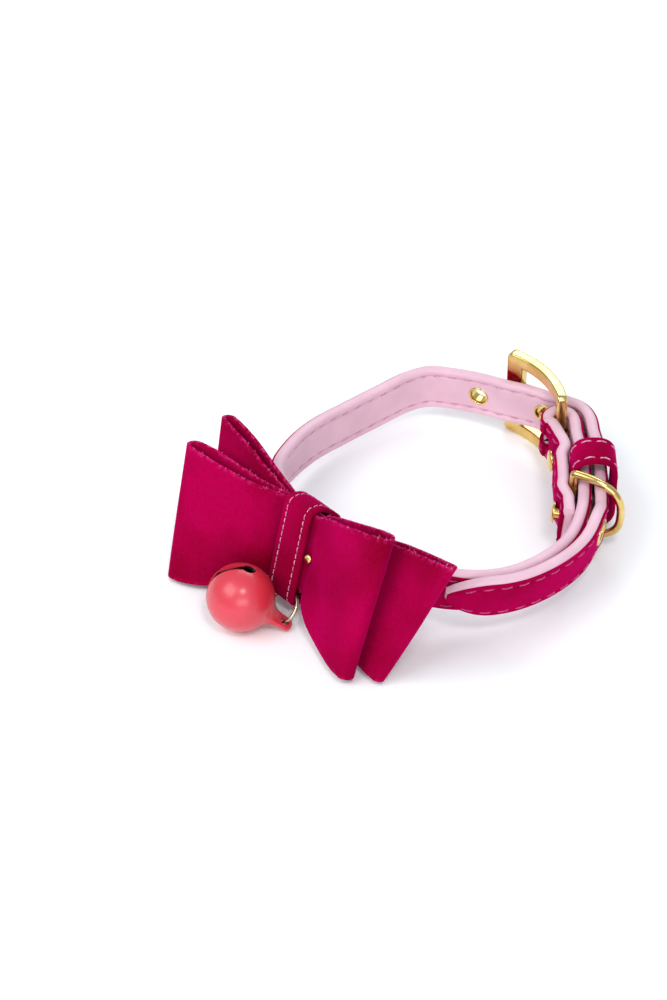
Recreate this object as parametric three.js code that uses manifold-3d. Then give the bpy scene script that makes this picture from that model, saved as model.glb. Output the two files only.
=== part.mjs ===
// Pet collar with a double velvet bow tie, a brass buckle and a coral jingle bell.
// Millimetres, +Z up. The collar is buckled into a loop and lies on a surface, with the bow
// towards -Y, the buckle towards +Y, and the bell on the surface in front of the bow.
import * as THREE from 'three';
import { mergeVertices } from 'three/addons/utils/BufferGeometryUtils.js';
import Module from 'manifold-3d';

const wasm = await Module();
wasm.setup();

// Strap
const strapWidth = 10;
const liningThickness = 1.4;
const velvetThickness = 0.9;
const velvetInset = 0.7; // how far the velvet's edge lies inside the lining's
const liningRound = 0.4; // the lining's rolled edge
const clearance = 0.3; // the gap kept between neighbouring pieces
const neckRadius = 31; // mean radius of the buckled loop, at the strap's middle
const tailLength = 30.5; // the end that is folded back inside, from the pivot bar
const tipLength = 9; // the tapered stretch of the free end
const freeLift = 1.8; // how far the free tip stands above the strap that it lies on
const sectionStep = 2.5; // distance between the strap's sections
const sideLift = 2; // how high the strap's lower edge stands at the loop's sides

// Buckle
const frameHeight = 20;
const frameLength = 17.5;
const frameThickness = 2.2;
const frameSide = 2.7; // height of the upper and lower members
const frameBulge = 1.7; // how far the frame arches out over the neck
const endBarWidth = 3.6;
const pivotBarSize = 2.0;
const frameChamfer = 0.45;
const frameCorner = 1.2;
const prongWidth = 1.9;
const prongThickness = 1.3;
const prongRingWall = 0.8;

// Eyelets
const eyeletCount = 5;
const usedEyelet = 1; // counted from 0 at the bow's end
const eyeletPitch = 14.3;
const eyeletBore = 1.6;
const eyeletWall = 0.4;
const eyeletFlange = 2.8;
const eyeletBackFlange = 2.25; // on the lining
const eyeletRim = 0.45;
const sink = 0.45; // how deep eyelets and rivet heads are pressed into the strap's faces
const eyeletToBar = 8.2; // along the strap, from the used eyelet to the pivot bar
const lastEyeletToTip = 40.2;

// Rivets, keeper and D-ring on the folded end, measured along the strap from the pivot bar
const rivetStations = [9.2, 26.4];
const rivetCapRadius = 2.9;
const rivetBackRadius = 2.2;
const rivetSlack = 0.6; // room between the folded plies at a rivet
const rivetCapHeight = 0.7;
const rivetShank = 1.1;
const keeperStation = 16.4;
const keeperWidth = 7.6;
const keeperHeight = 17.4;
const keeperWall = 1.0;
const keeperCorner = 3.2;
const ringStation = 22;
const ringHeight = 16;
const ringDepth = 11.8;
const ringWire = 1.6;
const ringSwing = 20; // degrees from square to the strap, towards the free tip
const ringSquareness = 2.8; // 2 is an ellipse, and more is squarer

// Bow
const bowLean = 16; // degrees that the bow's top leans in towards the neck
const bowHeight = 30;
const bowSeatShare = 0.414; // height of the strap at the bow, as a share of bowHeight
const frontBowLength = 50;
const backBowLength = 60;
const bowCloth = 0.8;
const frontPinchHeight = 16.4;
const backPinchHeight = 13.4;
const bowSweep = 9; // how far forward the loops' ends stand, at the most
const bowOpening = 4.2; // depth of a loop's mouth, at the most
const bandWidth = 7.4;
const bandCloth = 1.0;
const bandRound = 1.0;
const bandSlack = 2.9; // room under the pinch, where the jump ring passes
const bowRivetRadius = 0.9;
const bowRivetShank = 0.5;

// Bell and jump ring
const bellRadius = 6.65;
const bellWall = 0.7;
const lugBearing = 30; // degrees from +X towards +Y
const lugDip = 31; // degrees below level
const lugReach = 11.5; // from the bell's centre to the lug's end
const lugWidth = 3.4;
const lugThickness = 1.1;
const lugBore = 1;
const neckReach = 7.9; // from the bell's centre to where the lug leaves the neck
const neckRoundness = 0.62; // the neck's start, in radians from the lug's axis
const slotWidth = 1.5;
const slotEnd = 73; // degrees from the bell's crown to a slot end
const slotEndRadius = 1.3;
const slotLean = -14; // degrees that the slot is turned about the bell's axis, from its upper side
const ballRadius = 1.8;
const jumpRingRadius = 3.35;
const jumpRingBearing = -45.5; // degrees from +X, from the band to the lug
const jumpRingTilt = 53; // degrees from upright
const jumpRingWire = 0.7;

// Worked out from the sizes above
const strapThickness = liningThickness + clearance + velvetThickness;
const halfStrap = strapThickness / 2;
const pivotReach = pivotBarSize / 2 + 0.2; // to the pivot bar's chamfered corners
const foldRadius = pivotReach + clearance + halfStrap;
const bowSeat = bowHeight * bowSeatShare;
const buckleSeat = frameHeight / 2;
const lyingSeat = strapWidth / 2 + sideLift;

const brass = { color: 0xd9b45a, roughness: 0.25, metalness: 1 };
const velvet = { color: 0xb5005e, roughness: 0.95, metalness: 0 };
const lining = { color: 0xf2b6d6, roughness: 0.5, metalness: 0 };
const coral = { color: 0xf05a60, roughness: 0.35, metalness: 0 };
const steel = { color: 0xb8b8b8, roughness: 0.3, metalness: 1 };

const collar = new THREE.Group();
const Z = new THREE.Vector3(0, 0, 1);

function addPiece(name, geometry, finish) {
  const piece = new THREE.Mesh(geometry, new THREE.MeshStandardMaterial(finish));
  piece.name = name;
  collar.add(piece);
  return piece;
}

// Solids for joining and cutting

function toSolid(geometry) {
  const bare = geometry.clone();
  bare.deleteAttribute('normal');
  bare.deleteAttribute('uv');
  const merged = mergeVertices(bare, 1e-4);
  const solid = new wasm.Manifold(new wasm.Mesh({
    numProp: 3,
    vertProperties: merged.attributes.position.array,
    triVerts: new Uint32Array(merged.index.array),
  }));
  return solid;
}

function toGeometry(solid) {
  const { numProp, numVert, vertProperties, triVerts } = solid.getMesh();
  const positions = new Float32Array(numVert * 3);
  for (let i = 0; i < numVert; i++) {
    positions.set(vertProperties.subarray(i * numProp, i * numProp + 3), i * 3);
  }
  const geometry = new THREE.BufferGeometry();
  geometry.setAttribute('position', new THREE.BufferAttribute(positions, 3));
  geometry.setIndex(new THREE.BufferAttribute(triVerts, 1));
  return geometry;
}

function cut(geometry, cutters) {
  return toGeometry(cutters.reduce((solid, cutter) => solid.subtract(toSolid(cutter)), toSolid(geometry)));
}

function join(geometries) {
  return toGeometry(geometries.map(toSolid).reduce((whole, solid) => whole.add(solid)));
}

// A surface through rings of points. A closed loft meets itself, and an open one gets two flat ends.
function loft(rings, closed = false) {
  const sides = rings[0].length;
  const index = [];
  const spans = closed ? rings.length : rings.length - 1;
  for (let i = 0; i < spans; i++) {
    const here = i * sides;
    const next = ((i + 1) % rings.length) * sides;
    for (let j = 0; j < sides; j++) {
      const k = (j + 1) % sides;
      index.push(here + j, next + j, next + k, here + j, next + k, here + k);
    }
  }
  if (!closed) {
    const last = (rings.length - 1) * sides;
    for (let j = 1; j < sides - 1; j++) {
      index.push(0, j, j + 1, last, last + j + 1, last + j);
    }
  }
  const geometry = new THREE.BufferGeometry().setFromPoints(rings.flat());
  geometry.setIndex(index);
  return facingOut(geometry);
}

// Turns a closed surface the right way out, by the sign of the volume that it encloses.
function facingOut(geometry) {
  const { position } = geometry.attributes;
  const index = geometry.index.array;
  const [a, b, c] = [0, 1, 2].map(() => new THREE.Vector3());
  let volume = 0;
  for (let i = 0; i < index.length; i += 3) {
    a.fromBufferAttribute(position, index[i]);
    b.fromBufferAttribute(position, index[i + 1]);
    c.fromBufferAttribute(position, index[i + 2]);
    volume += a.dot(b.cross(c));
  }
  if (volume < 0) {
    for (let i = 0; i < index.length; i += 3) {
      [index[i + 1], index[i + 2]] = [index[i + 2], index[i + 1]];
    }
  }
  return geometry;
}

// A value between a table's rows at x, eased from row to row.
function easedRow(rows, key, value, x) {
  if (x <= rows[0][key]) return rows[0][value];
  for (let i = 1; i < rows.length; i++) {
    if (x <= rows[i][key]) {
      const share = THREE.MathUtils.smoothstep(x, rows[i - 1][key], rows[i][key]);
      return THREE.MathUtils.lerp(rows[i - 1][value], rows[i][value], share);
    }
  }
  return rows[rows.length - 1][value];
}

// The loop that the strap is buckled into
// A row for each bend, clockwise from the pivot bar as seen from above. turn is in degrees from +Y,
// reach is a share of neckRadius, bow and buckle are how far the strap is lifted to the bow's and the
// buckle's height, and lean is a share of bowLean.
const loopRows = [
  { turn: 18, reach: 1.05, bow: 0, buckle: 1, lean: 0 },
  { turn: 29, reach: 0.99, bow: 0, buckle: 1, lean: 0 },
  { turn: 43, reach: 0.96, bow: 0, buckle: 1, lean: 0 },
  { turn: 58, reach: 0.965, bow: 0, buckle: 0.95, lean: 0 },
  { turn: 71, reach: 0.995, bow: 0, buckle: 0.85, lean: -0.25 },
  { turn: 86, reach: 1.035, bow: 0, buckle: 0.7, lean: -0.5 },
  { turn: 101, reach: 1.045, bow: 0.02, buckle: 0.62, lean: -0.55 },
  { turn: 116, reach: 1.04, bow: 0.06, buckle: 0.55, lean: -0.5 },
  { turn: 131, reach: 1.01, bow: 0.25, buckle: 0.35, lean: -0.2 },
  { turn: 149, reach: 0.985, bow: 0.7, buckle: 0.1, lean: 0.5 },
  { turn: 168, reach: 0.98, bow: 0.97, buckle: 0, lean: 0.95 },
  { turn: 188.5, reach: 0.98, bow: 1, buckle: 0, lean: 1, seat: 'bow' },
  { turn: 208, reach: 1.01, bow: 0.9, buckle: 0, lean: 0.85 },
  { turn: 226, reach: 1.025, bow: 0.65, buckle: 0, lean: 0.45 },
  { turn: 244, reach: 0.965, bow: 0.35, buckle: 0.05, lean: 0.15 },
  { turn: 262, reach: 0.925, bow: 0.12, buckle: 0.1, lean: 0 },
  { turn: 279, reach: 0.905, bow: 0, buckle: 0.15, lean: 0 },
  { turn: 296, reach: 0.935, bow: 0, buckle: 0.25, lean: 0 },
  { turn: 309, reach: 1.01, bow: 0, buckle: 0.4, lean: 0 },
  { turn: 317, reach: 1.045, bow: 0, buckle: 0.5, lean: 0 },
  { turn: 327, reach: 1.01, bow: 0, buckle: 0.7, lean: 0 },
  { turn: 341, reach: 0.98, bow: 0, buckle: 0.9, lean: 0 },
  { turn: 358, reach: 0.985, bow: 0, buckle: 1, lean: 0 },
];

function loopCorner({ turn, reach, bow, buckle }) {
  const angle = THREE.MathUtils.degToRad(turn);
  const height = lyingSeat + bow * (bowSeat - lyingSeat) + buckle * (buckleSeat - lyingSeat);
  return new THREE.Vector3(neckRadius * reach * Math.sin(angle), neckRadius * reach * Math.cos(angle), height);
}

const loopCurve = new THREE.CatmullRomCurve3(loopRows.map(loopCorner), true, 'centripetal');
const leanCurve = new THREE.CatmullRomCurve3(
  loopRows.map(({ lean }, i) => new THREE.Vector3(lean, i, 0)), true, 'catmullrom');
loopCurve.arcLengthDivisions = 1200;
const loopLength = loopCurve.getLength();

// Axes on the loop at a distance from the pivot bar: along runs clockwise, out points away from the
// neck, and up is the strap's width.
function loopFrame(station) {
  const share = ((station / loopLength) % 1 + 1) % 1;
  const t = loopCurve.getUtoTmapping(share);
  const lean = THREE.MathUtils.degToRad(bowLean * leanCurve.getPoint(t).x);
  const along = loopCurve.getTangent(t);
  const out = new THREE.Vector3().crossVectors(Z, along).normalize().applyAxisAngle(along, lean);
  const up = new THREE.Vector3().crossVectors(along, out);
  return { origin: loopCurve.getPoint(t), along, out, up };
}

function loopPoint(station, offset, lift = 0) {
  const { origin, out, up } = loopFrame(station);
  return origin.addScaledVector(out, offset).addScaledVector(up, lift);
}

function freeEndPoint(station) {
  const [gap, lift] = ['gap', 'lift'].map((value) => easedRow(freeRows, 'at', value, station));
  return loopPoint(station, gap, lift * freeLift);
}

function bowStationOnLoop() {
  const row = loopRows.findIndex(({ seat }) => seat === 'bow');
  const lengths = loopCurve.getLengths(1200);
  return lengths[Math.round((row / loopRows.length) * 1200)];
}

const bowStation = bowStationOnLoop();

// Distance of the folded-back tail inside the strap, from the pivot bar to the tail's end.
const tailPinch = strapThickness + clearance;
const keeperBend = keeperWidth ** 2 / (8 * neckRadius);
const tailAtKeeper = tailPinch + keeperWall + clearance + 2 * keeperBend;
const tailRows = [
  { at: 0, gap: 2 * foldRadius },
  { at: rivetStations[0], gap: tailPinch + rivetSlack },
  { at: keeperStation - keeperWidth / 2, gap: tailAtKeeper },
  { at: keeperStation + keeperWidth / 2, gap: tailAtKeeper },
  { at: ringStation, gap: tailPinch + ringWire + clearance },
  { at: rivetStations[1], gap: tailPinch + rivetSlack },
  { at: tailLength, gap: tailPinch },
];

// The free end from the end bar to the free tip: gap is its distance outside the strap, and lift the
// share of freeLift that it stands above the strap.
const overStrap = strapThickness + 2 * clearance;
const overRivet = overStrap + rivetCapHeight - sink;
const freeLength = (eyeletCount - 1 - usedEyelet) * eyeletPitch + lastEyeletToTip - eyeletToBar;
const freeEnd = freeLength / (1 + (overStrap + frameBulge) / neckRadius);
const freeRows = [
  { at: -frameLength, gap: 0, lift: 0 },
  { at: -eyeletToBar, gap: halfStrap, lift: 0 },
  { at: 0, gap: overStrap, lift: 0 },
  { at: rivetStations[0], gap: overRivet, lift: 0 },
  { at: keeperStation, gap: overStrap, lift: 0 },
  { at: ringStation, gap: overStrap, lift: 0 },
  { at: rivetStations[1], gap: overRivet, lift: 0 },
  { at: rivetStations[1] + rivetCapRadius * 2, gap: overStrap, lift: 1 },
  { at: freeEnd, gap: overStrap, lift: 1 },
];

// The strap's sections from the tail's end to the free tip. at is the length along the strap, 0 where
// the outer ply leaves the pivot bar.
function strapSections() {
  const places = [];
  const addRun = (from, to, pointAt) => {
    const steps = Math.ceil(Math.abs(to - from) / sectionStep);
    for (let i = 0; i < steps; i++) {
      const station = from + ((to - from) * i) / steps;
      places.push({ centre: pointAt(station), up: loopFrame(station).up });
    }
  };
  addRun(tailLength, 0, (station) => loopPoint(station, -easedRow(tailRows, 'at', 'gap', station)));
  const { origin, along, out, up } = loopFrame(0);
  const foldSteps = 12;
  for (let i = 0; i < foldSteps; i++) {
    const angle = Math.PI * (i / foldSteps - 0.5);
    const centre = origin.clone()
      .addScaledVector(along, -foldRadius * Math.cos(angle))
      .addScaledVector(out, foldRadius * (Math.sin(angle) - 1));
    places.push({ centre, up });
  }
  const startOfStrap = places.length;
  const freeStart = loopLength - frameLength;
  addRun(0, freeStart, (station) => loopPoint(station, 0));
  addRun(-frameLength, freeEnd, freeEndPoint);
  places.push({ centre: freeEndPoint(freeEnd), up: loopFrame(freeEnd).up });
  return withAxes(places, startOfStrap);
}

function withAxes(places, startOfStrap) {
  let at = 0;
  places.forEach((place, i) => {
    const before = places[Math.max(i - 1, 0)].centre;
    const after = places[Math.min(i + 1, places.length - 1)].centre;
    place.along = new THREE.Vector3().subVectors(after, before).normalize();
    place.out = new THREE.Vector3().crossVectors(place.up, place.along).normalize();
    place.up = new THREE.Vector3().crossVectors(place.along, place.out);
    at += i ? place.centre.distanceTo(before) : 0;
    place.at = at;
  });
  const start = places[startOfStrap].at;
  places.forEach((place) => { place.at -= start; });
  return places;
}

const strap = strapSections();
const strapEnd = strap[strap.length - 1].at;

// The strap's axes at a length along it, between its sections.
function strapFrame(at) {
  const i = Math.max(1, strap.findIndex((place) => place.at >= at));
  const [a, b] = [strap[i - 1], strap[i]];
  const share = (at - a.at) / (b.at - a.at);
  const mix = (key) => a[key].clone().lerp(b[key], share);
  const [along, out, up] = ['along', 'out', 'up'].map((axis) => mix(axis).normalize());
  return { origin: mix('centre'), along, out, up };
}

// The length along the strap at which it passes a station on the loop.
function strapLengthAt(station, offset) {
  const target = loopPoint(station, offset);
  const near = strap.filter(({ at }) => Math.abs(at - station) < sectionStep * 4 + offset * 3);
  return near.reduce((best, place) =>
    place.centre.distanceTo(target) < best.centre.distanceTo(target) ? place : best).at;
}

// Moves a shape from its own axes, y up and z out, to a place on the strap.
function placed(geometry, { origin, out, up }) {
  const axes = new THREE.Matrix4()
    .makeBasis(new THREE.Vector3().crossVectors(up, out), up, out)
    .setPosition(origin);
  return geometry.clone().applyMatrix4(axes);
}

// A turned shape has its axis on y, and this stands it on z, the way out of the strap.
function turned(profile, sides) {
  const points = profile.map(([radius, height]) => new THREE.Vector2(radius, height));
  return new THREE.LatheGeometry(points, sides).rotateX(Math.PI / 2);
}

function peg(radius, length, sides = 14) {
  return new THREE.CylinderGeometry(radius, radius, length, sides).rotateX(Math.PI / 2);
}

// Strap plies
// Height of the strap as a share of its width, over the last of its length. to is a share of tipLength.
const tipRows = [
  { to: 0, height: 0.16 },
  { to: 0.16, height: 0.42 },
  { to: 0.36, height: 0.68 },
  { to: 0.6, height: 0.88 },
  { to: 0.82, height: 0.97 },
  { to: 1, height: 1 },
];

function strapHeight(at) {
  const to = (strapEnd - at) / tipLength;
  const i = Math.max(1, tipRows.findIndex((row) => row.to >= to));
  if (to >= 1) return strapWidth;
  const [a, b] = [tipRows[i - 1], tipRows[i]];
  return strapWidth * THREE.MathUtils.mapLinear(to, a.to, b.to, a.height, b.height);
}

function ply(inner, outer, inset, round) {
  const tipStations = tipRows.map(({ to }) => strapEnd - to * tipLength);
  const stations = strap.map(({ at }) => at).filter((at) => at < strapEnd - tipLength - 0.5);
  const rings = [...stations, ...tipStations.reverse()].map((at) => {
    const { origin, out, up } = strapFrame(at);
    const half = Math.max(strapHeight(at) / 2 - inset, 0.3);
    const soft = Math.min(round, half / 2);
    const corners = round
      ? [[inner, half - soft], [inner + soft, half], [outer - soft, half], [outer, half - soft]]
      : [[inner, half], [outer, half]];
    const mirrored = [...corners].reverse().map(([x, y]) => [x, -y]);
    return [...corners, ...mirrored].map(([x, y]) =>
      origin.clone().addScaledVector(out, x).addScaledVector(up, y));
  });
  return loft(rings);
}

// Buckle axes: x runs from the pivot bar to the end bar, z points out and y up.
const pivotPoint = loopPoint(0, -foldRadius);
const endBarTilt = Math.atan((4 * frameBulge) / frameLength);
const endBarDepth = (frameThickness / 2) * Math.cos(endBarTilt) + (endBarWidth / 2) * Math.sin(endBarTilt);
const endBarPoint = loopPoint(-frameLength + endBarWidth / 2, halfStrap + clearance + endBarDepth);

function buckleFrame() {
  const along = endBarPoint.clone().sub(pivotPoint).setZ(0).normalize();
  const out = new THREE.Vector3().crossVectors(along, Z);
  return { origin: pivotPoint, along, out, up: Z };
}

const buckle = buckleFrame();
const buckleSpan = pivotPoint.distanceTo(endBarPoint);

// A point on the arched frame: x is the distance from the pivot bar, y the height and z the depth.
function archedPoint(x, y, z) {
  const onArch = THREE.MathUtils.clamp(x, 0, buckleSpan);
  const share = onArch / buckleSpan;
  const rise = 4 * frameBulge * share * (1 - share);
  const slope = Math.atan((4 * frameBulge * (1 - 2 * share)) / buckleSpan);
  const [run, climb] = [Math.cos(slope), Math.sin(slope)];
  return new THREE.Vector3(onArch + (x - onArch) * run - z * climb, y, rise + (x - onArch) * climb + z * run);
}

function buckleLoop() {
  const outer = {
    left: -pivotBarSize / 2,
    right: buckleSpan + endBarWidth / 2,
    half: frameHeight / 2,
    round: frameCorner,
  };
  const inner = {
    left: pivotBarSize / 2,
    right: buckleSpan - endBarWidth / 2,
    half: frameHeight / 2 - frameSide,
    round: frameCorner / 2,
  };
  const cornerSteps = 2;
  const sideSteps = 6;
  const corners = [[1, 1], [-1, 1], [-1, -1], [1, -1]];
  const outlineOf = ({ left, right, half, round }) => {
    const points = [];
    corners.forEach(([sideX, sideY], c) => {
      const centreX = sideX > 0 ? right - round : left + round;
      const centreY = sideY * (half - round);
      for (let i = 0; i <= cornerSteps; i++) {
        const angle = (Math.PI / 2) * (c + i / cornerSteps);
        points.push([centreX + round * Math.cos(angle), centreY + round * Math.sin(angle)]);
      }
      if (sideX * sideY > 0) {
        const startX = centreX;
        const endX = sideX > 0 ? left + round : right - round;
        for (let i = 1; i < sideSteps; i++) {
          points.push([THREE.MathUtils.lerp(startX, endX, i / sideSteps), sideY * half]);
        }
      }
    });
    return points;
  };
  const outside = outlineOf(outer);
  const inside = outlineOf(inner);
  const rings = outside.map(([ox, oy], i) => {
    const [ix, iy] = inside[i];
    const width = Math.hypot(ox - ix, oy - iy);
    const edge = frameChamfer / width;
    const deep = (ox < inner.left ? pivotBarSize : frameThickness) / 2;
    const section = [
      [0, deep - frameChamfer], [edge, deep], [1 - edge, deep], [1, deep - frameChamfer],
      [1, frameChamfer - deep], [1 - edge, -deep], [edge, -deep], [0, frameChamfer - deep],
    ];
    return section.map(([share, z]) =>
      archedPoint(THREE.MathUtils.lerp(ox, ix, share), THREE.MathUtils.lerp(oy, iy, share), z));
  });
  return placed(loft(rings, true), buckle);
}

// Where the prong's eyelet is in the buckle's axes.
const usedEyeletAt = strapLengthAt(loopLength - eyeletToBar, halfStrap);

function inBuckleAxes(vector) {
  return new THREE.Vector3(vector.dot(buckle.along), vector.dot(buckle.up), vector.dot(buckle.out));
}

function prongShape() {
  const ringInner = pivotReach + clearance / 2;
  const ringOuter = ringInner + prongRingWall;
  const ring = new THREE.LatheGeometry([
    new THREE.Vector2(ringInner, -prongWidth / 2),
    new THREE.Vector2(ringOuter, -prongWidth / 2),
    new THREE.Vector2(ringOuter, prongWidth / 2),
    new THREE.Vector2(ringInner, prongWidth / 2),
    new THREE.Vector2(ringInner, -prongWidth / 2),
  ], 16);
  const hole = strapFrame(usedEyeletAt);
  const middle = inBuckleAxes(hole.origin.clone().sub(buckle.origin)).setY(0);
  const through = inBuckleAxes(hole.out).setY(0).normalize();
  const reach = halfStrap + clearance + eyeletRim;
  const restDepth = frameThickness / 2 + clearance + prongThickness / 2;
  const path = new THREE.CatmullRomCurve3([
    new THREE.Vector3((ringInner + ringOuter) / 2, 0, 0),
    middle.clone().multiplyScalar(0.45).setZ(middle.z * 0.1),
    middle.clone().addScaledVector(through, -reach),
    middle.clone(),
    middle.clone().addScaledVector(through, reach),
    archedPoint(buckleSpan - endBarWidth, 0, restDepth + clearance),
    archedPoint(buckleSpan + endBarWidth / 2, 0, restDepth),
  ], false, 'centripetal');
  const steps = 22;
  const rings = [];
  for (let i = 0; i <= steps; i++) {
    const t = i / steps;
    const centre = path.getPointAt(t);
    const along = path.getTangentAt(t);
    const depth = new THREE.Vector3(0, 1, 0).cross(along).normalize();
    const taper = 1 - 0.35 * THREE.MathUtils.smoothstep(t, 0.8, 1);
    const section = [];
    for (let j = 0; j < 8; j++) {
      const angle = (Math.PI / 4) * (j + 0.5);
      section.push(centre.clone()
        .addScaledVector(Z.clone().set(0, 1, 0), (prongWidth / 2) * taper * Math.cos(angle))
        .addScaledVector(depth, (prongThickness / 2) * taper * Math.sin(angle)));
    }
    rings.push(section);
  }
  return placed(join([ring, loft(rings)]), buckle);
}

// The oblong hole at the fold, which lets the prong out.
function prongSlot() {
  const height = prongWidth + 2 * clearance;
  const radius = foldRadius + halfStrap + clearance / 2;
  const disc = new THREE.CylinderGeometry(radius, radius, height, 24);
  const keep = new THREE.BoxGeometry(radius * 2, height * 2, radius * 2);
  keep.translate(radius - pivotReach * 2, 0, 0);
  return placed(toGeometry(toSolid(disc).intersect(toSolid(keep))), buckle);
}

// Eyelets
const eyeletHoleRadius = eyeletBore + eyeletWall + clearance / 2;
const eyeletsAt = Array.from({ length: eyeletCount }, (_, i) => usedEyeletAt + (i - usedEyelet) * eyeletPitch);

function eyeletShape() {
  const under = halfStrap - sink + clearance / 2;
  const top = under + eyeletRim;
  const tube = eyeletBore + eyeletWall;
  const lip = eyeletRim / 2;
  return turned([
    [eyeletBore, -top], [eyeletBackFlange - lip, -top], [eyeletBackFlange, -under],
    [tube, -under], [tube, under], [eyeletFlange, under], [eyeletFlange, top - lip],
    [eyeletFlange - lip, top], [eyeletBore, top], [eyeletBore, -top],
  ], 14);
}

function eyeletHole() {
  const depth = halfStrap + clearance;
  const seat = halfStrap - sink;
  const [wide, backWide] = [eyeletFlange, eyeletBackFlange].map((radius) => radius + clearance / 2);
  return turned([
    [0, -depth], [backWide, -depth], [backWide, -seat], [eyeletHoleRadius, -seat],
    [eyeletHoleRadius, seat], [wide, seat], [wide, depth], [0, depth],
  ], 14);
}

// Rivets through both plies of the fold, from the tail's face to the strap's face.
function tailDepthAt(station) {
  const reaches = [-rivetBackRadius, 0, rivetBackRadius];
  return Math.max(...reaches.map((reach) => easedRow(tailRows, 'at', 'gap', station + reach)));
}

function rivetShape(station) {
  const outerFace = halfStrap - sink + clearance / 2;
  const innerFace = -tailDepthAt(station) - halfStrap - 1.5 * clearance;
  return turned([
    [0, innerFace - rivetCapHeight],
    [rivetBackRadius * 0.7, innerFace - rivetCapHeight * 0.8],
    [rivetBackRadius, innerFace - rivetCapHeight * 0.3],
    [rivetBackRadius, innerFace],
    [rivetShank, innerFace],
    [rivetShank, outerFace],
    [rivetCapRadius, outerFace],
    [rivetCapRadius * 0.94, outerFace + rivetCapHeight * 0.4],
    [rivetCapRadius * 0.6, outerFace + rivetCapHeight * 0.85],
    [0, outerFace + rivetCapHeight],
  ], 16);
}

function rivetHole() {
  const seat = halfStrap - sink;
  const wide = rivetCapRadius + clearance / 2;
  const narrow = rivetShank + clearance / 2;
  return turned([
    [0, -4 * foldRadius], [narrow, -4 * foldRadius], [narrow, seat], [wide, seat],
    [wide, halfStrap + clearance], [0, halfStrap + clearance],
  ], 16);
}

// A closed band of cloth. The corners run round it in its own plane, and it is width wide.
function clothBand(corners, round, wall, width) {
  const outlineOf = (points, radius) => {
    const path = new THREE.Path();
    points.forEach((corner, i) => {
      const before = points[(i + points.length - 1) % points.length];
      const after = points[(i + 1) % points.length];
      const start = corner.clone().add(before.clone().sub(corner).setLength(radius));
      const end = corner.clone().add(after.clone().sub(corner).setLength(radius));
      if (i) path.lineTo(start.x, start.y);
      else path.moveTo(start.x, start.y);
      path.quadraticCurveTo(corner.x, corner.y, end.x, end.y);
    });
    path.closePath();
    return path.getPoints(4);
  };
  const inside = outlineOf(corners, round);
  const outside = outlineOf(grown(corners, wall), round + wall / 2);
  const shape = new THREE.Shape(outside);
  shape.holes.push(new THREE.Path([...inside].reverse()));
  return new THREE.ExtrudeGeometry(shape, { depth: width, bevelEnabled: false }).translate(0, 0, -width / 2);
}

// A polygon's corners, moved out so that each side lies a distance further out.
function grown(corners, distance) {
  return corners.map((corner, i) => {
    const before = corners[(i + corners.length - 1) % corners.length];
    const after = corners[(i + 1) % corners.length];
    const a = corner.clone().sub(before).normalize();
    const b = after.clone().sub(corner).normalize();
    const normalA = new THREE.Vector2(a.y, -a.x);
    const normalB = new THREE.Vector2(b.y, -b.x);
    const bisector = normalA.clone().add(normalB).normalize();
    return corner.clone().addScaledVector(bisector, distance / bisector.dot(normalA));
  });
}

// Stands a band's plane across the strap: its x becomes out and its y up.
function acrossStrap(geometry, { origin, out, up }) {
  const axes = new THREE.Matrix4()
    .makeBasis(out, up, new THREE.Vector3().crossVectors(out, up))
    .setPosition(origin);
  return geometry.applyMatrix4(axes);
}

function keeperShape() {
  const frame = loopFrame(keeperStation);
  const inner = -halfStrap - clearance - keeperBend;
  const outer = overRivet + halfStrap + clearance + keeperBend;
  const half = keeperHeight / 2 - keeperWall;
  const corners = [[inner, -half], [outer, -half], [outer, half], [inner, half]];
  const outline = corners.map(([x, y]) => new THREE.Vector2(x, y));
  const band = clothBand(outline, keeperCorner, keeperWall, keeperWidth);
  return acrossStrap(band, frame);
}

// D-ring
function dRingShape() {
  const { origin, along, out, up } = loopFrame(ringStation);
  const swing = THREE.MathUtils.degToRad(ringSwing);
  const away = out.clone().multiplyScalar(Math.cos(swing)).addScaledVector(along, Math.sin(swing));
  const bar = origin.addScaledVector(out, -halfStrap - clearance - ringWire / 2);
  const half = (ringHeight - ringWire) / 2;
  const depth = ringDepth - ringWire;
  const arcSteps = 24;
  const path = [];
  for (let i = 0; i <= arcSteps; i++) {
    const angle = Math.PI * (0.5 - i / arcSteps);
    const [across, rise] = [Math.cos(angle), Math.sin(angle)]
      .map((value) => Math.sign(value) * Math.abs(value) ** (2 / ringSquareness));
    path.push([depth * across, half * rise]);
  }
  const points = path.map(([x, y]) => bar.clone().addScaledVector(away, x).addScaledVector(up, y));
  return wireLoop(points, ringWire, 8);
}

// A closed wire along points, with a many-sided section.
function wireLoop(points, diameter, sides) {
  const centre = points.reduce((sum, point) => sum.add(point), new THREE.Vector3()).divideScalar(points.length);
  const normal = new THREE.Vector3()
    .crossVectors(points[0].clone().sub(centre), points[Math.floor(points.length / 4)].clone().sub(centre))
    .normalize();
  const rings = points.map((point, i) => {
    const before = points[(i + points.length - 1) % points.length];
    const after = points[(i + 1) % points.length];
    const along = after.clone().sub(before).normalize();
    const side = new THREE.Vector3().crossVectors(along, normal).normalize();
    return Array.from({ length: sides }, (_, j) => {
      const angle = (2 * Math.PI * (j + 0.5)) / sides;
      return point.clone()
        .addScaledVector(side, (diameter / 2) * Math.cos(angle))
        .addScaledVector(normal, (diameter / 2) * Math.sin(angle));
    });
  });
  return loft(rings, true);
}

// Bow axes: x runs to the right as seen from the front, n points out of the bow's face and w up.
const bowFrame = loopFrame(bowStation);

function bowPoint(x, n, w) {
  const { origin, along, out, up } = bowFrame;
  return origin.clone().addScaledVector(along, -x).addScaledVector(out, n).addScaledVector(up, w);
}

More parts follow.
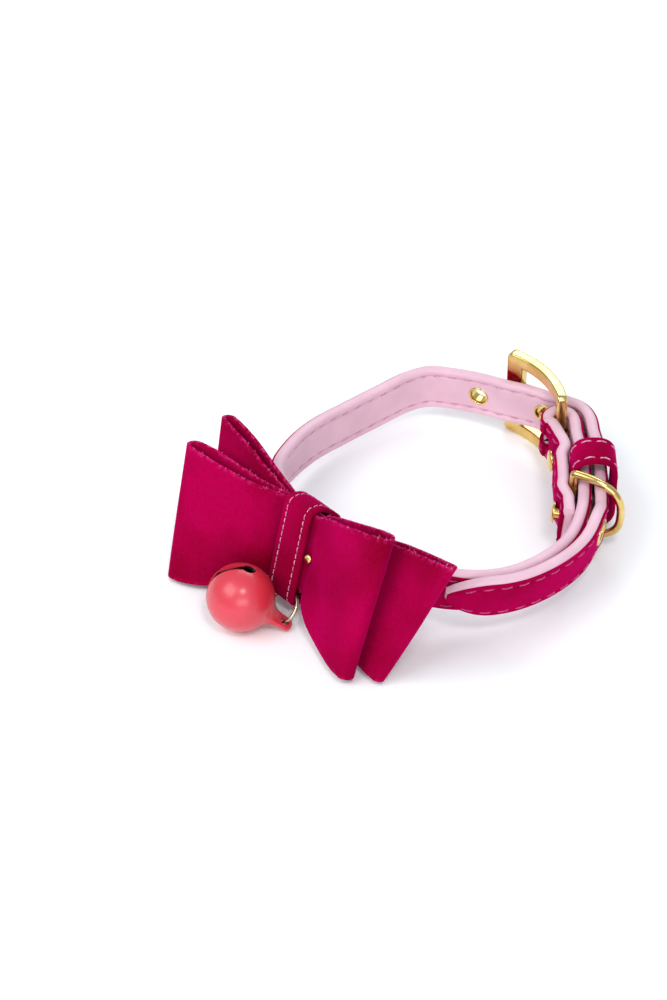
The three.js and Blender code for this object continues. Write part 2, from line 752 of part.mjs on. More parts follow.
const plyPitch = bowCloth + clearance;
const backBowBase = halfStrap + clearance + bowCloth / 2;
const frontBowBase = backBowBase + 2 * plyPitch;
const pinchFace = frontBowBase + plyPitch + bowCloth / 2;
const backBow = { length: backBowLength, base: backBowBase, pinch: backPinchHeight };
const frontBow = { length: frontBowLength, base: frontBowBase, pinch: frontPinchHeight };

// A row for each section of a loop from the pinch to the tip. to is a share of the loop's length,
// flareTop and flareBottom are how far its edges have risen and dropped from pinch to full height,
// mouth is a share of bowOpening, and sweep how far it has come forward.
const bowSectionRows = [
  { to: 0, flareTop: 0, flareBottom: 0, mouth: 0, sweep: 0 },
  { to: 0.17, flareTop: 0.01, flareBottom: 0.01, mouth: 0, sweep: 0 },
  { to: 0.26, flareTop: 0.16, flareBottom: 0.24, mouth: 0.18, sweep: 0.2 },
  { to: 0.4, flareTop: 0.37, flareBottom: 0.52, mouth: 0.4, sweep: 0.43 },
  { to: 0.55, flareTop: 0.56, flareBottom: 0.73, mouth: 0.58, sweep: 0.62 },
  { to: 0.7, flareTop: 0.73, flareBottom: 0.86, mouth: 0.72, sweep: 0.78 },
  { to: 0.85, flareTop: 0.88, flareBottom: 0.95, mouth: 0.78, sweep: 0.9 },
  { to: 0.96, flareTop: 0.98, flareBottom: 0.99, mouth: 0.6, sweep: 0.98 },
];

// A row for each of the four loops. top and bottom are its end's edges as shares of half bowHeight,
// reachTop and reachBottom its length as shares of half its bow, sweepTop and sweepBottom its end's
// place as shares of bowSweep, and mouth a share of bowOpening.
const bowLoopRows = {
  frontRight: {
    side: 1, reachTop: 0.97, reachBottom: 0.97, sweepTop: 0.35, sweepBottom: 0.57,
    top: 1.03, bottom: 0.99, mouth: 0.7,
  },
  frontLeft: {
    side: -1, reachTop: 1, reachBottom: 0.83, sweepTop: 0.88, sweepBottom: 1.12,
    top: 0.72, bottom: 1.08, mouth: 0.8,
  },
  backRight: {
    side: 1, reachTop: 1.25, reachBottom: 0.97, sweepTop: 0.02, sweepBottom: 0.36,
    top: 1.0, bottom: 0.94, mouth: 0.25,
  },
  backLeft: {
    side: -1, reachTop: 0.86, reachBottom: 0.76, sweepTop: 0.17, sweepBottom: 0.12,
    top: 0.97, bottom: 0.86, mouth: 0.5,
  },
};

// The middle of a loop's cloth at a section, from its lower edge at v = 0 to its upper edge at v = 1.
function bowLoopPoint(loop, bow, section, face, v) {
  const { lerp } = THREE.MathUtils;
  const pinch = bow.pinch / 2;
  const top = lerp(pinch, (loop.top * bowHeight) / 2, section.flareTop);
  const bottom = lerp(pinch, (loop.bottom * bowHeight) / 2, section.flareBottom);
  const reach = (bow.length / 2) * section.to * lerp(loop.reachBottom, loop.reachTop, v);
  const sweep = bowSweep * section.sweep * lerp(loop.sweepBottom, loop.sweepTop, v);
  const mouth = plyPitch / 2 + (bowOpening / 2) * loop.mouth * section.mouth;
  return { x: loop.side * reach, n: bow.base + plyPitch / 2 + sweep + face * mouth, w: lerp(-bottom, top, v) };
}

// One bow is a closed band of cloth that is flattened into a right and a left loop.
function bowShape(right, left, bow) {
  const levels = [0, 0.34, 0.67, 1];
  const columns = [];
  const addFace = (loop, face, rows) => rows.forEach((section) => {
    columns.push(levels.map((v) => bowLoopPoint(loop, bow, section, face, v)));
  });
  const addFold = (loop, from) => {
    const last = bowSectionRows[bowSectionRows.length - 1];
    for (let i = 1; i < 4; i++) {
      const angle = Math.PI * (i / 4);
      columns.push(levels.map((v) => {
        const front = bowLoopPoint(loop, bow, last, from, v);
        const back = bowLoopPoint(loop, bow, last, -from, v);
        const radius = Math.abs(front.n - back.n) / 2;
        const middle = (front.n + back.n) / 2;
        return {
          x: front.x + loop.side * radius * 0.9 * Math.sin(angle),
          n: middle + from * radius * Math.cos(angle),
          w: front.w,
        };
      }));
    }
  };
  const outwards = bowSectionRows.slice(1);
  const inwards = [...outwards].reverse();
  const pinch = bowSectionRows.slice(0, 1);
  addFace(right, 1, pinch);
  addFace(right, 1, outwards);
  addFold(right, 1);
  addFace(right, -1, inwards);
  addFace(right, -1, pinch);
  addFace(left, -1, outwards);
  addFold(left, -1);
  addFace(left, 1, inwards);
  const rings = columns.map((column, i) => {
    const before = columns[(i + columns.length - 1) % columns.length];
    const after = columns[(i + 1) % columns.length];
    const faces = column.map(({ x, n, w }, k) => {
      const run = new THREE.Vector2(after[k].x - before[k].x, after[k].n - before[k].n).normalize();
      const half = bowCloth / 2;
      return [bowPoint(x + run.y * half, n - run.x * half, w), bowPoint(x - run.y * half, n + run.x * half, w)];
    });
    return [...faces.map(([a]) => a), ...faces.map(([, b]) => b).reverse()];
  });
  return loft(rings, true);
}

function bandShape() {
  const room = clearance * 1.7;
  const front = pinchFace + room;
  const back = -halfStrap - clearance;
  const waist = backBowBase - bowCloth / 2 - room;
  const step = frontBowBase - bowCloth / 2 - room;
  const top = frontPinchHeight / 2 + room;
  const backTop = backPinchHeight / 2 + room;
  const bottom = frontPinchHeight / 2 + bandSlack;
  const strapEdge = strapWidth / 2 + room;
  const corners = [
    [back, -strapEdge], [waist, -bottom], [front, -bottom], [front, top], [step, top], [waist, backTop],
    [back, strapEdge],
  ];
  const band = clothBand(corners.map(([x, y]) => new THREE.Vector2(x, y)), bandRound, bandCloth, bandWidth);
  return acrossStrap(band, bowFrame);
}

// The small rivet at the band's right edge, which holds the bow to the strap.
const bowRivetAcross = bandWidth / 2 + bowRivetRadius + 2 * clearance;
const bowRivetPlace = { ...bowFrame, origin: bowPoint(bowRivetAcross, 0, 0) };

// Depth of the front loop's face at a distance across the bow, half way up.
function bowFaceDepth(across) {
  const loop = bowLoopRows.frontRight;
  const halfLength = (frontBow.length / 2) * (loop.reachTop + loop.reachBottom) / 2;
  const i = bowSectionRows.findIndex(({ to }) => to * halfLength > across);
  const deepest = bowLoopPoint(loop, frontBow, bowSectionRows[i], 1, 0.5);
  const before = bowLoopPoint(loop, frontBow, bowSectionRows[i - 1], 1, 0.5);
  return THREE.MathUtils.mapLinear(across, before.x, deepest.x, before.n, deepest.n) + bowCloth / 2;
}

function bowRivetShape() {
  const inner = -halfStrap - 2 * clearance;
  const outer = bowFaceDepth(bowRivetAcross + bowRivetRadius) + clearance / 2;
  return turned([
    [0, inner - rivetCapHeight], [bowRivetRadius * 0.8, inner - rivetCapHeight / 2], [bowRivetRadius, inner],
    [bowRivetShank, inner], [bowRivetShank, outer], [bowRivetRadius, outer],
    [bowRivetRadius * 0.7, outer + rivetCapHeight * 0.7], [0, outer + rivetCapHeight],
  ], 12);
}

function bowRivetHole() {
  return placed(peg(bowRivetShank + clearance / 2, 6 * bowSweep, 10), bowRivetPlace);
}

// The jump ring runs from under the bow's pinch, through the band's lower edge, to the bell's lug.
function onBearing(degrees, dip = 0) {
  const [bearing, fall] = [degrees, dip].map(THREE.MathUtils.degToRad);
  return new THREE.Vector3(
    Math.cos(bearing) * Math.cos(fall), Math.sin(bearing) * Math.cos(fall), -Math.sin(fall));
}

const lugWay = onBearing(lugBearing, lugDip);
const lugHoleReach = lugReach - lugWidth / 2;
const ringTop = bowPoint(0, pinchFace + clearance, -frontPinchHeight / 2 - bandSlack + jumpRingWire / 2);
const ringDrop = ringTop.z - (bellRadius + lugWay.z * lugHoleReach);
const ringSpan = 2 * jumpRingRadius;
const lugHole = ringTop.clone()
  .addScaledVector(onBearing(jumpRingBearing), Math.sqrt(ringSpan ** 2 - ringDrop ** 2))
  .addScaledVector(Z, -ringDrop);

const ringAway = ringTop.clone().sub(lugHole).normalize();
const ringAcross = Z.clone().addScaledVector(ringAway, -ringAway.z).normalize()
  .applyAxisAngle(ringAway, THREE.MathUtils.degToRad(jumpRingTilt));

function jumpRingPoints() {
  const centre = ringTop.clone().lerp(lugHole, 0.5);
  const steps = 24;
  return Array.from({ length: steps }, (_, i) => {
    const angle = (2 * Math.PI * i) / steps;
    return centre.clone()
      .addScaledVector(ringAway, jumpRingRadius * Math.cos(angle))
      .addScaledVector(ringAcross, jumpRingRadius * Math.sin(angle));
  });
}

// Bell axes: z points from the bell's centre to its lug, and y along the hole for the ring.
const bellCentre = lugHole.clone().addScaledVector(lugWay, -lugHoleReach);
const lugFlat = new THREE.Vector3().crossVectors(ringAcross, lugWay).normalize();
const lugThrough = new THREE.Vector3().crossVectors(lugWay, lugFlat);
const bellAxes = new THREE.Matrix4().makeBasis(lugFlat, lugThrough, lugWay).setPosition(bellCentre);

function bellShape() {
  const inner = bellRadius - bellWall;
  const profile = [];
  const steps = 12;
  for (let i = 0; i <= steps; i++) {
    const angle = THREE.MathUtils.lerp(Math.PI, neckRoundness, i / steps);
    profile.push([bellRadius * Math.sin(angle), bellRadius * Math.cos(angle)]);
  }
  profile.push([lugWidth * 0.6, (bellRadius + neckReach) / 2], [lugWidth * 0.4, neckReach], [0, neckReach]);
  const hollow = [];
  for (let i = 0; i <= steps; i++) {
    const angle = Math.PI * (1 - i / steps);
    hollow.push([inner * Math.sin(angle), inner * Math.cos(angle)]);
  }
  const lugEnd = lugReach - lugWidth / 2;
  const tab = new THREE.Shape();
  tab.moveTo(-lugWidth / 2, bellRadius - bellWall / 2);
  tab.lineTo(lugWidth / 2, bellRadius - bellWall / 2);
  tab.lineTo(lugWidth / 2, lugEnd);
  tab.absarc(0, lugEnd, lugWidth / 2, 0, Math.PI, false);
  tab.closePath();
  tab.holes.push(new THREE.Path().absarc(0, lugEnd, lugBore, 0, Math.PI * 2, true));
  const lug = new THREE.ExtrudeGeometry(tab, { depth: lugThickness, bevelEnabled: false, curveSegments: 8 })
    .translate(0, 0, -lugThickness / 2)
    .rotateX(Math.PI / 2);
  const shell = cut(join([turned(profile, 28), lug]), [turned(hollow, 20), ...slotCutters()]);
  return shell.applyMatrix4(bellAxes);
}

// The sound slot crosses the crown, opposite the lug, and ends in two round holes.
function slotCutters() {
  const end = THREE.MathUtils.degToRad(slotEnd);
  const depth = bellRadius * 1.2;
  const low = bellRadius * Math.cos(end);
  const slot = new THREE.BoxGeometry(2 * bellRadius * Math.sin(end), slotWidth, depth)
    .translate(0, 0, -low - depth / 2);
  const holes = [-end, end].map((angle) =>
    new THREE.CylinderGeometry(slotEndRadius, slotEndRadius, bellRadius, 12)
      .translate(0, bellRadius, 0)
      .rotateX(-Math.PI / 2)
      .rotateY(angle));
  const turn = Math.atan2(lugThrough.z, lugFlat.z) + THREE.MathUtils.degToRad(slotLean);
  return [slot, ...holes].map((cutter) => cutter.rotateZ(turn));
}

function bellBallShape() {
  const drop = bellRadius - bellWall - ballRadius - clearance;
  return new THREE.SphereGeometry(ballRadius, 12, 8)
    .translate(bellCentre.x, bellCentre.y, bellCentre.z - drop);
}

// Assembly
const rivetFrames = rivetStations.map((station) => loopFrame(station));
const rivetHoles = rivetFrames.map((frame) => placed(rivetHole(), frame));
const eyeletHoles = eyeletsAt.map((at) => placed(eyeletHole(), strapFrame(at)));
const strapCuts = [...eyeletHoles, ...rivetHoles, prongSlot(), bowRivetHole()];

addPiece('strap_lining', cut(ply(-halfStrap, liningThickness - halfStrap, 0, liningRound), strapCuts), lining);
addPiece('strap_velvet', cut(ply(halfStrap - velvetThickness, halfStrap, velvetInset, 0), strapCuts), velvet);
addPiece('buckle_frame', buckleLoop(), brass);
addPiece('buckle_prong', prongShape(), brass);
eyeletsAt.forEach((at, i) => {
  addPiece(`eyelet_${i + 1}`, placed(eyeletShape(), strapFrame(at)), brass);
});
rivetStations.forEach((station, i) => {
  addPiece(`strap_rivet_${i + 1}`, placed(rivetShape(station), rivetFrames[i]), brass);
});
addPiece('keeper_loop', keeperShape(), velvet);
addPiece('d_ring', dRingShape(), brass);

const { frontRight, frontLeft, backRight, backLeft } = bowLoopRows;
addPiece('bow_back', cut(bowShape(backRight, backLeft, backBow), [bowRivetHole()]), velvet);
addPiece('bow_front', cut(bowShape(frontRight, frontLeft, frontBow), [bowRivetHole()]), velvet);
const jumpRing = jumpRingPoints();
addPiece('bow_band', cut(bandShape(), [wireLoop(jumpRing, jumpRingWire + 2 * clearance, 6)]), velvet);
addPiece('bow_rivet', placed(bowRivetShape(), bowRivetPlace), brass);
addPiece('bell', bellShape(), coral);
addPiece('bell_ball', bellBallShape(), steel);
addPiece('jump_ring', wireLoop(jumpRing, jumpRingWire, 6), brass);

// The origin is the middle of the bounding box, at the surface that the collar lies on.
const bounds = new THREE.Box3().setFromObject(collar);
const middle = bounds.getCenter(new THREE.Vector3());
collar.position.set(-middle.x, -middle.y, -bounds.min.z);

export default collar;
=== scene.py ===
# %% [markdown]
# # A velvet bow tie collar on a white table
#
# A small pet collar lies buckled into a loop. Its strap is soft pink leatherette on the inside and
# magenta velvet on the outside, and it carries a double velvet bow, a coral jingle bell and brass
# fittings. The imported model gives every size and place, and this file dresses it.
#
# The lesson works from the picture inwards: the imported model, then the camera and the lights, then the
# curve that the strap follows, and then one piece after another. Sizes are in millimetres, unless a
# comment says otherwise.

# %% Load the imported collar
import math

import bpy
import numpy as np
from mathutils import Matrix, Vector


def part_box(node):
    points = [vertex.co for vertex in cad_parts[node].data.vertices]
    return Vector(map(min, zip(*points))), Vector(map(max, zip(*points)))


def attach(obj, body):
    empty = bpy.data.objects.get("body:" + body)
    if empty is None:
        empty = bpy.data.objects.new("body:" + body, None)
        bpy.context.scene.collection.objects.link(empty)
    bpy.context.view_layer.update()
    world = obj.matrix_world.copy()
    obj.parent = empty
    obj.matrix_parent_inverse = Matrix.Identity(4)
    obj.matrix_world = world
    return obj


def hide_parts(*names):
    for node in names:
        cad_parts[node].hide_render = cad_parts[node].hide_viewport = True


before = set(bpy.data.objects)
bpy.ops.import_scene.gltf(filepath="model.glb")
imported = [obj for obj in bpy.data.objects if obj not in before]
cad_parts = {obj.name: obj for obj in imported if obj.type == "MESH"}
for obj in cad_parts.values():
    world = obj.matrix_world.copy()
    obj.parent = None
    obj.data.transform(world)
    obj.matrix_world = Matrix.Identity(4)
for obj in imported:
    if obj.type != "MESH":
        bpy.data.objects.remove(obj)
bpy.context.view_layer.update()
MM = 0.001

# %% [markdown]
# ## Camera
#
# The picture was taken with a long lens from the front left, 41 degrees above the table. A long lens keeps
# the far side of the loop almost as large as the near side. The camera could be placed by eye, but
# here its place is worked out from a target, a distance and two angles, so each can be changed alone.

# %% Camera
TARGET = np.array([-22.02, 0.10, 0.0])  # millimetres, the point in the middle of the picture
DISTANCE = 600.0
ELEVATION = 41.0
AZIMUTH = 42.0  # 0 looks along +Y
LENS = 106.9  # for a sensor of 36 mm on the picture's long side


def camera_direction(azimuth, elevation):
    """The unit vector from the target to the camera: azimuth turns it about Z, elevation lifts it."""
    a, e = math.radians(azimuth), math.radians(elevation)
    return np.array([math.sin(a) * math.cos(e), -math.cos(a) * math.cos(e), math.sin(e)])


def aim(obj, place, target):
    """Puts an object at a place and turns its -Z towards a target, both in millimetres."""
    obj.location = Vector(place * MM)
    obj.rotation_euler = Vector((target - place) * MM).to_track_quat("-Z", "Y").to_euler()


scene = bpy.context.scene
camera = bpy.data.objects.new("camera", bpy.data.cameras.new("camera"))
camera.data.lens = LENS
camera.data.clip_start, camera.data.clip_end = 0.05, 20.0
scene.collection.objects.link(camera)
aim(camera, TARGET + DISTANCE * camera_direction(AZIMUTH, ELEVATION), TARGET)
scene.camera = camera
print("camera stands at", (np.array(camera.location) / MM).round(1), "mm")

# %% [markdown]
# ## Light
#
# Catalogue pictures are lit by large soft boxes round a white table, so that shadows are faint and
# metal shows broad bright stripes. Four rectangular lights and a pale sky do the same here. The
# colours are shown as they are, with no film curve, because a curve would pale the magenta.

# %% Light
SOFT_BOXES = [
    # name, azimuth, elevation, distance mm, width mm, height mm, watts
    ("key_box", -20.0, 50.0, 900.0, 620.0, 520.0, 3.7),
    ("front_box", 56.0, 60.0, 1000.0, 190.0, 190.0, 2.2),
    ("fill_box", 48.0, 24.0, 1100.0, 700.0, 420.0, 3.2),
    ("back_box", 205.0, 40.0, 1000.0, 700.0, 300.0, 2.7),
]
SKY_COLOUR = (0.82, 0.93, 1.0, 1.0)
SKY_STRENGTH = 0.6

for name, azimuth, elevation, distance, width, height, watts in SOFT_BOXES:
    lamp = bpy.data.lights.new(name, "AREA")
    lamp.shape, lamp.size, lamp.size_y, lamp.energy = "RECTANGLE", width * MM, height * MM, watts
    holder = bpy.data.objects.new(name, lamp)
    scene.collection.objects.link(holder)
    aim(holder, distance * camera_direction(azimuth, elevation), np.zeros(3))
    print(name, "shines", watts, "W")

scene.view_settings.view_transform = "Standard"
sky = bpy.data.worlds.new("studio")
scene.world = sky
sky.use_nodes = True
sky_light = sky.node_tree.nodes["Background"]
sky_light.inputs["Color"].default_value = SKY_COLOUR
sky_light.inputs["Strength"].default_value = SKY_STRENGTH

# %% [markdown]
# ## Arrays into meshes
#
# Every new surface here is a grid of points worked out with numpy, in millimetres and in the
# drawing's own frame. A grid needs two things to become a mesh: the corner numbers of its small
# four-sided faces, and faces that point outwards. The second is settled by the volume that the
# surface encloses, which comes out negative when the faces are turned round.

# %% Grids and meshes
SHARP = math.radians(42.0)  # an edge that bends more than this is shaded as an edge


def grid_faces(rows, columns, wrap_rows=False, wrap_columns=False):
    """Corner numbers of the quads between neighbouring rows and columns of a grid of points."""
    i = np.arange(rows if wrap_rows else rows - 1)[:, None]
    j = np.arange(columns if wrap_columns else columns - 1)[None, :]
    below, beside = (i + 1) % rows, (j + 1) % columns
    corners = [i * columns + j, below * columns + j, below * columns + beside, i * columns + beside]
    return np.stack(np.broadcast_arrays(*corners), -1).reshape(-1, 4)


def enclosed_volume(points, faces):
    """A sixth of the sum of a . (b x c) over the triangles that fan out from each face's first corner."""
    total = 0.0
    for group in faces:
        first = points[group[:, 0]]
        for k in range(1, group.shape[1] - 1):
            total += np.sum(first * np.cross(points[group[:, k]], points[group[:, k + 1]]))
    return total / 6


def make_mesh(name, points, faces):
    """A mesh from points in metres and a list of face arrays, turned so that its faces point out."""
    if enclosed_volume(points, faces) < 0:
        faces = [group[:, ::-1] for group in faces]
    counts = np.concatenate([np.full(len(group), group.shape[1]) for group in faces])
    mesh = bpy.data.meshes.new(name)
    mesh.vertices.add(len(points))
    mesh.vertices.foreach_set("co", points.astype(np.float32).ravel())
    mesh.loops.add(int(counts.sum()))
    mesh.loops.foreach_set("vertex_index", np.concatenate([g.ravel() for g in faces]).astype(np.int32))
    mesh.polygons.add(len(counts))
    mesh.polygons.foreach_set("loop_start", (np.cumsum(counts) - counts).astype(np.int32))
    mesh.polygons.foreach_set("use_smooth", np.ones(len(counts), bool))
    mesh.update(calc_edges=True)
    mesh.set_sharp_from_angle(angle=SHARP)
    return mesh


def make_object(name, points, faces):
    """An object for a piece, from points in the drawing's millimetres, which SHIFT moves to the part's."""
    mesh = make_mesh(name, (np.asarray(points, float) + SHIFT) * MM, faces)
    obj = bpy.data.objects.new(name, mesh)
    scene.collection.objects.link(obj)
    return obj


def finish_piece(obj, finish, slot, *nodes):
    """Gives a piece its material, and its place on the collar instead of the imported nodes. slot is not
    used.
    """
    obj.data.materials.clear()
    obj.data.materials.append(finish)
    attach(obj, "root")
    if nodes:
        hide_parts(*nodes)
    print(f"{obj.name}: {len(obj.data.polygons)} faces")
    return obj


def dress(name, surface, finish, slot, *nodes):
    """A finished piece from the points and faces of a surface."""
    return finish_piece(make_object(name, *surface), finish, slot, *nodes)


# %% [markdown]
# ## Curves through a few chosen points
#
# A strap, a prong or a wire is drawn as a smooth curve through a short list of points. A
# Catmull-Rom curve passes through all of them, and its centripetal form, where each step counts as
# the root of its length, makes no small loops at tight bends.

# %% Curves


def unit(vectors):
    """Each vector divided by its own length."""
    return vectors / np.linalg.norm(vectors, axis=-1, keepdims=True)


def mix(a, b, share):
    """a + (b - a) * share."""
    return a + (b - a) * share


def ease(x):
    """x squared times (3 - 2x) between 0 and 1: a step that starts and ends gently."""
    x = np.clip(x, 0, 1)
    return x * x * (3 - 2 * x)


def turns(count):
    """Equal angles round a full circle."""
    return np.arange(count) * 2 * np.pi / count


def squarish(angle, power):
    """Cosine and sine raised to a power, with their signs kept. A power below 1 makes a circle squarer."""
    return [np.sign(part) * np.abs(part) ** power for part in (np.cos(angle), np.sin(angle))]


def closed_tangents(line):
    """Unit vectors along a closed line, each from the neighbour before to the neighbour after."""
    return unit(np.roll(line, -1, axis=0) - np.roll(line, 1, axis=0))


def to_the_right(vectors):
    """Flat vectors turned by a quarter: (x, y) becomes (y, -x)."""
    return np.stack([vectors[..., 1], -vectors[..., 0]], -1)


def eased_table(at, values, x):
    """The table's value at x, eased from row to row."""
    at, values = np.asarray(at, float), np.asarray(values, float)
    row = np.clip(np.searchsorted(at, x), 1, len(at) - 1)
    return mix(values[row - 1], values[row], ease((x - at[row - 1]) / (at[row] - at[row - 1])))


def spline(knots, per_span, closed=True, power=0.5):
    """A Catmull-Rom curve: each span is a cubic whose end slopes come from the neighbouring knots, and a
    step between knots counts as its length to the given power."""
    knots = np.asarray(knots, float)
    if closed:
        p0, p1, p2, p3 = (np.roll(knots, k, axis=0) for k in (1, 0, -1, -2))
    else:
        ends = np.vstack([2 * knots[0] - knots[1], knots, 2 * knots[-1] - knots[-2]])
        p0, p1, p2, p3 = ends[:-3], ends[1:-2], ends[2:-1], ends[3:]
    d0, d1, d2 = (np.linalg.norm(b - a, axis=1, keepdims=True) ** power
                  for a, b in ((p0, p1), (p1, p2), (p2, p3)))
    slope_in = d1 * ((p1 - p0) / d0 - (p2 - p0) / (d0 + d1) + (p2 - p1) / d1)
    slope_out = d1 * ((p2 - p1) / d1 - (p3 - p1) / (d1 + d2) + (p3 - p2) / d2)
    w = (np.arange(per_span) / per_span)[:, None, None]
    bend = 3 * (p2 - p1) - 2 * slope_in - slope_out
    twist = 2 * (p1 - p2) + slope_in + slope_out
    run = (p1 + slope_in * w + bend * w**2 + twist * w**3).transpose(1, 0, 2).reshape(-1, knots.shape[1])
    return run if closed else np.vstack([run, knots[-1]])


def lengths_along(points):
    """The distance walked from the first point to each point."""
    steps = np.linalg.norm(np.diff(points, axis=0), axis=1)
    return np.concatenate([[0.0], np.cumsum(steps)])


def evenly(points, count, closed=False):
    """The same line with its points evenly spaced. A closed line isn't given its first point twice."""
    line = np.vstack([points, points[:1]]) if closed else points
    walked = lengths_along(line)
    at = np.linspace(0, walked[-1], count + 1)[:-1] if closed else np.linspace(0, walked[-1], count)
    return np.stack([np.interp(at, walked, column) for column in line.T], -1)


def rounded(corners, radius, steps):
    """A polygon whose corners are replaced by arcs that start a radius before each corner."""
    corners = np.asarray(corners, float)
    before, after = np.roll(corners, 1, axis=0), np.roll(corners, -1, axis=0)
    start = corners + unit(before - corners) * radius
    end = corners + unit(after - corners) * radius
    t = np.linspace(0, 1, steps + 1)[None, :, None]
    arcs = (1 - t) ** 2 * start[:, None] + 2 * t * (1 - t) * corners[:, None] + t**2 * end[:, None]
    return arcs.reshape(-1, corners.shape[1])


# %% [markdown]
# ## The loop that the strap follows
#
# The buckled strap isn't a circle: it bulges at the sides, is flatter at the buckle, and lies lower
# at its sides than at the bow and the buckle, which hold it up. A table gives the strap's middle at a
# few bearings, and the smooth curve through them is the loop. At each point three axes are kept:
# along the strap, out of the neck, and up across its width.

# %% The loop
STRAP_WIDTH = 10.0
NECK_RADIUS = 31.0
BOW_LEAN = 16.0
BOW_SEAT = 12.42  # height of the strap's middle at the bow
BUCKLE_SEAT = 10.0
LYING_SEAT = 7.0
# Each row: bearing from +Y in degrees, reach as a share of NECK_RADIUS, the shares of the bow's and the
# buckle's height, and the lean as a share of BOW_LEAN.
LOOP_ROWS = np.array([
    [18, 1.05, 0, 1, 0], [29, 0.99, 0, 1, 0], [43, 0.96, 0, 1, 0], [58, 0.965, 0, 0.95, 0],
    [71, 0.995, 0, 0.85, -0.25], [86, 1.035, 0, 0.7, -0.5], [101, 1.045, 0.02, 0.62, -0.55],
    [116, 1.04, 0.06, 0.55, -0.5], [131, 1.01, 0.25, 0.35, -0.2], [149, 0.985, 0.7, 0.1, 0.5],
    [168, 0.98, 0.97, 0, 0.95], [188.5, 0.98, 1, 0, 1], [208, 1.01, 0.9, 0, 0.85],
    [226, 1.025, 0.65, 0, 0.45], [244, 0.965, 0.35, 0.05, 0.15], [262, 0.925, 0.12, 0.1, 0],
    [279, 0.905, 0, 0.15, 0], [296, 0.935, 0, 0.25, 0], [309, 1.01, 0, 0.4, 0], [317, 1.045, 0, 0.5, 0],
    [327, 1.01, 0, 0.7, 0], [341, 0.98, 0, 0.9, 0], [358, 0.985, 0, 1, 0],
])
BOW_ROW = 11
SPAN_STEPS = 120


def loop_knots(rows):
    """Each row as a point: reach * sin and cos of its bearing, and the height between the three seats."""
    turn, reach, bow, buckle = rows[:, :4].T
    angle = np.radians(turn)
    height = LYING_SEAT + bow * (BOW_SEAT - LYING_SEAT) + buckle * (BUCKLE_SEAT - LYING_SEAT)
    return np.stack([NECK_RADIUS * reach * np.sin(angle), NECK_RADIUS * reach * np.cos(angle), height], -1)


def loop_tables():
    """The dense curve, its tangents and leans, each closed by its first row, and the walked lengths."""
    points = spline(loop_knots(LOOP_ROWS), SPAN_STEPS)
    leans = spline(LOOP_ROWS[:, 4:], SPAN_STEPS, power=0)
    table = np.hstack([points, closed_tangents(points), np.radians(BOW_LEAN) * leans])
    table = np.vstack([table, table[:1]])
    return table, lengths_along(table[:, :3])


LOOP_TABLE, LOOP_WALK = loop_tables()
LOOP_LENGTH = LOOP_WALK[-1]
BOW_STATION = LOOP_WALK[BOW_ROW * SPAN_STEPS]
UP = np.array([0.0, 0.0, 1.0])


def loop_axes(station):
    """Origin, along, out and up at distances from the pivot bar. out is Z x along, turned about along by
    the lean: out cos + (along x out) sin."""
    where = np.mod(np.asarray(station, float), LOOP_LENGTH)
    row = np.stack([np.interp(where, LOOP_WALK, column) for column in LOOP_TABLE.T], -1)
    origin, along, lean = row[..., :3], unit(row[..., 3:6]), row[..., 6:]
    out = unit(np.cross(UP, along))
    out = out * np.cos(lean) + np.cross(along, out) * np.sin(lean)
    return origin, along, out, np.cross(along, out)


def loop_point(station, offset, lift=0.0):
    """A point of the loop, moved out and up."""
    origin, _, out, up = loop_axes(station)
    offset, lift = (np.broadcast_to(value, np.shape(station))[..., None] for value in (offset, lift))
    return origin + offset * out + lift * up


print(f"the loop is {LOOP_LENGTH:.1f} mm round, and the bow sits {BOW_STATION:.1f} mm from the pivot bar")

# %% [markdown]
# ## The strap's whole way
#
# The strap starts as a short tail inside the loop, folds round the buckle's pivot bar, goes once
# round the neck, passes under the end bar, and lies on itself to its pointed tip. Two tables give how
# far the tail and the free end stand off the loop, where rivets, keeper and D-ring push the layers
# apart.

# %% The strap's way
CLEARANCE = 0.3
STRAP_THICKNESS = 2.6
HALF_STRAP = STRAP_THICKNESS / 2
PIVOT_REACH = 1.2
FOLD_RADIUS = PIVOT_REACH + CLEARANCE + HALF_STRAP
# Stations are lengths along the loop from the pivot bar, as are the ends of the tail and the free end.
TAIL_LENGTH = 30.5
FRAME_LENGTH = 17.5
EYELET_TO_BAR = 8.2
FREE_END = 64.68
FREE_LIFT = 1.8
RIVET_STATIONS = (9.2, 26.4)
RIVET_CAP = 2.9
RING_STATION = 22.0
RING_WIRE = 1.6
KEEPER_STATION = 16.4
KEEPER_WIDTH = 7.6
UNDER_KEEPER = 4.666
KEEPER_ENDS = [KEEPER_STATION - KEEPER_WIDTH / 2, KEEPER_STATION + KEEPER_WIDTH / 2]
TAIL_GAP = STRAP_THICKNESS + CLEARANCE
TAIL_OVER_RIVET = TAIL_GAP + 2 * CLEARANCE
FREE_GAP = STRAP_THICKNESS + 2 * CLEARANCE
FREE_OVER_RIVET = FREE_GAP + 0.25  # room for the rivet's cap
LIFT_END = RIVET_STATIONS[1] + 2 * RIVET_CAP
TAIL_GAPS = ([0, RIVET_STATIONS[0], *KEEPER_ENDS, RING_STATION, RIVET_STATIONS[1], TAIL_LENGTH],
             [2 * FOLD_RADIUS, TAIL_OVER_RIVET, UNDER_KEEPER, UNDER_KEEPER,
              TAIL_GAP + RING_WIRE + CLEARANCE, TAIL_OVER_RIVET, TAIL_GAP])
FREE_GAPS = ([-FRAME_LENGTH, -EYELET_TO_BAR, 0, RIVET_STATIONS[0], KEEPER_STATION, RING_STATION,
              RIVET_STATIONS[1], LIFT_END, FREE_END],
             [0, HALF_STRAP, FREE_GAP, FREE_OVER_RIVET, FREE_GAP, FREE_GAP,
              FREE_OVER_RIVET, FREE_GAP, FREE_GAP])
FREE_LIFTS = ([RIVET_STATIONS[1], LIFT_END], [0, 1])
STRAP_STEP = 0.55
FOLD_STEPS = 26


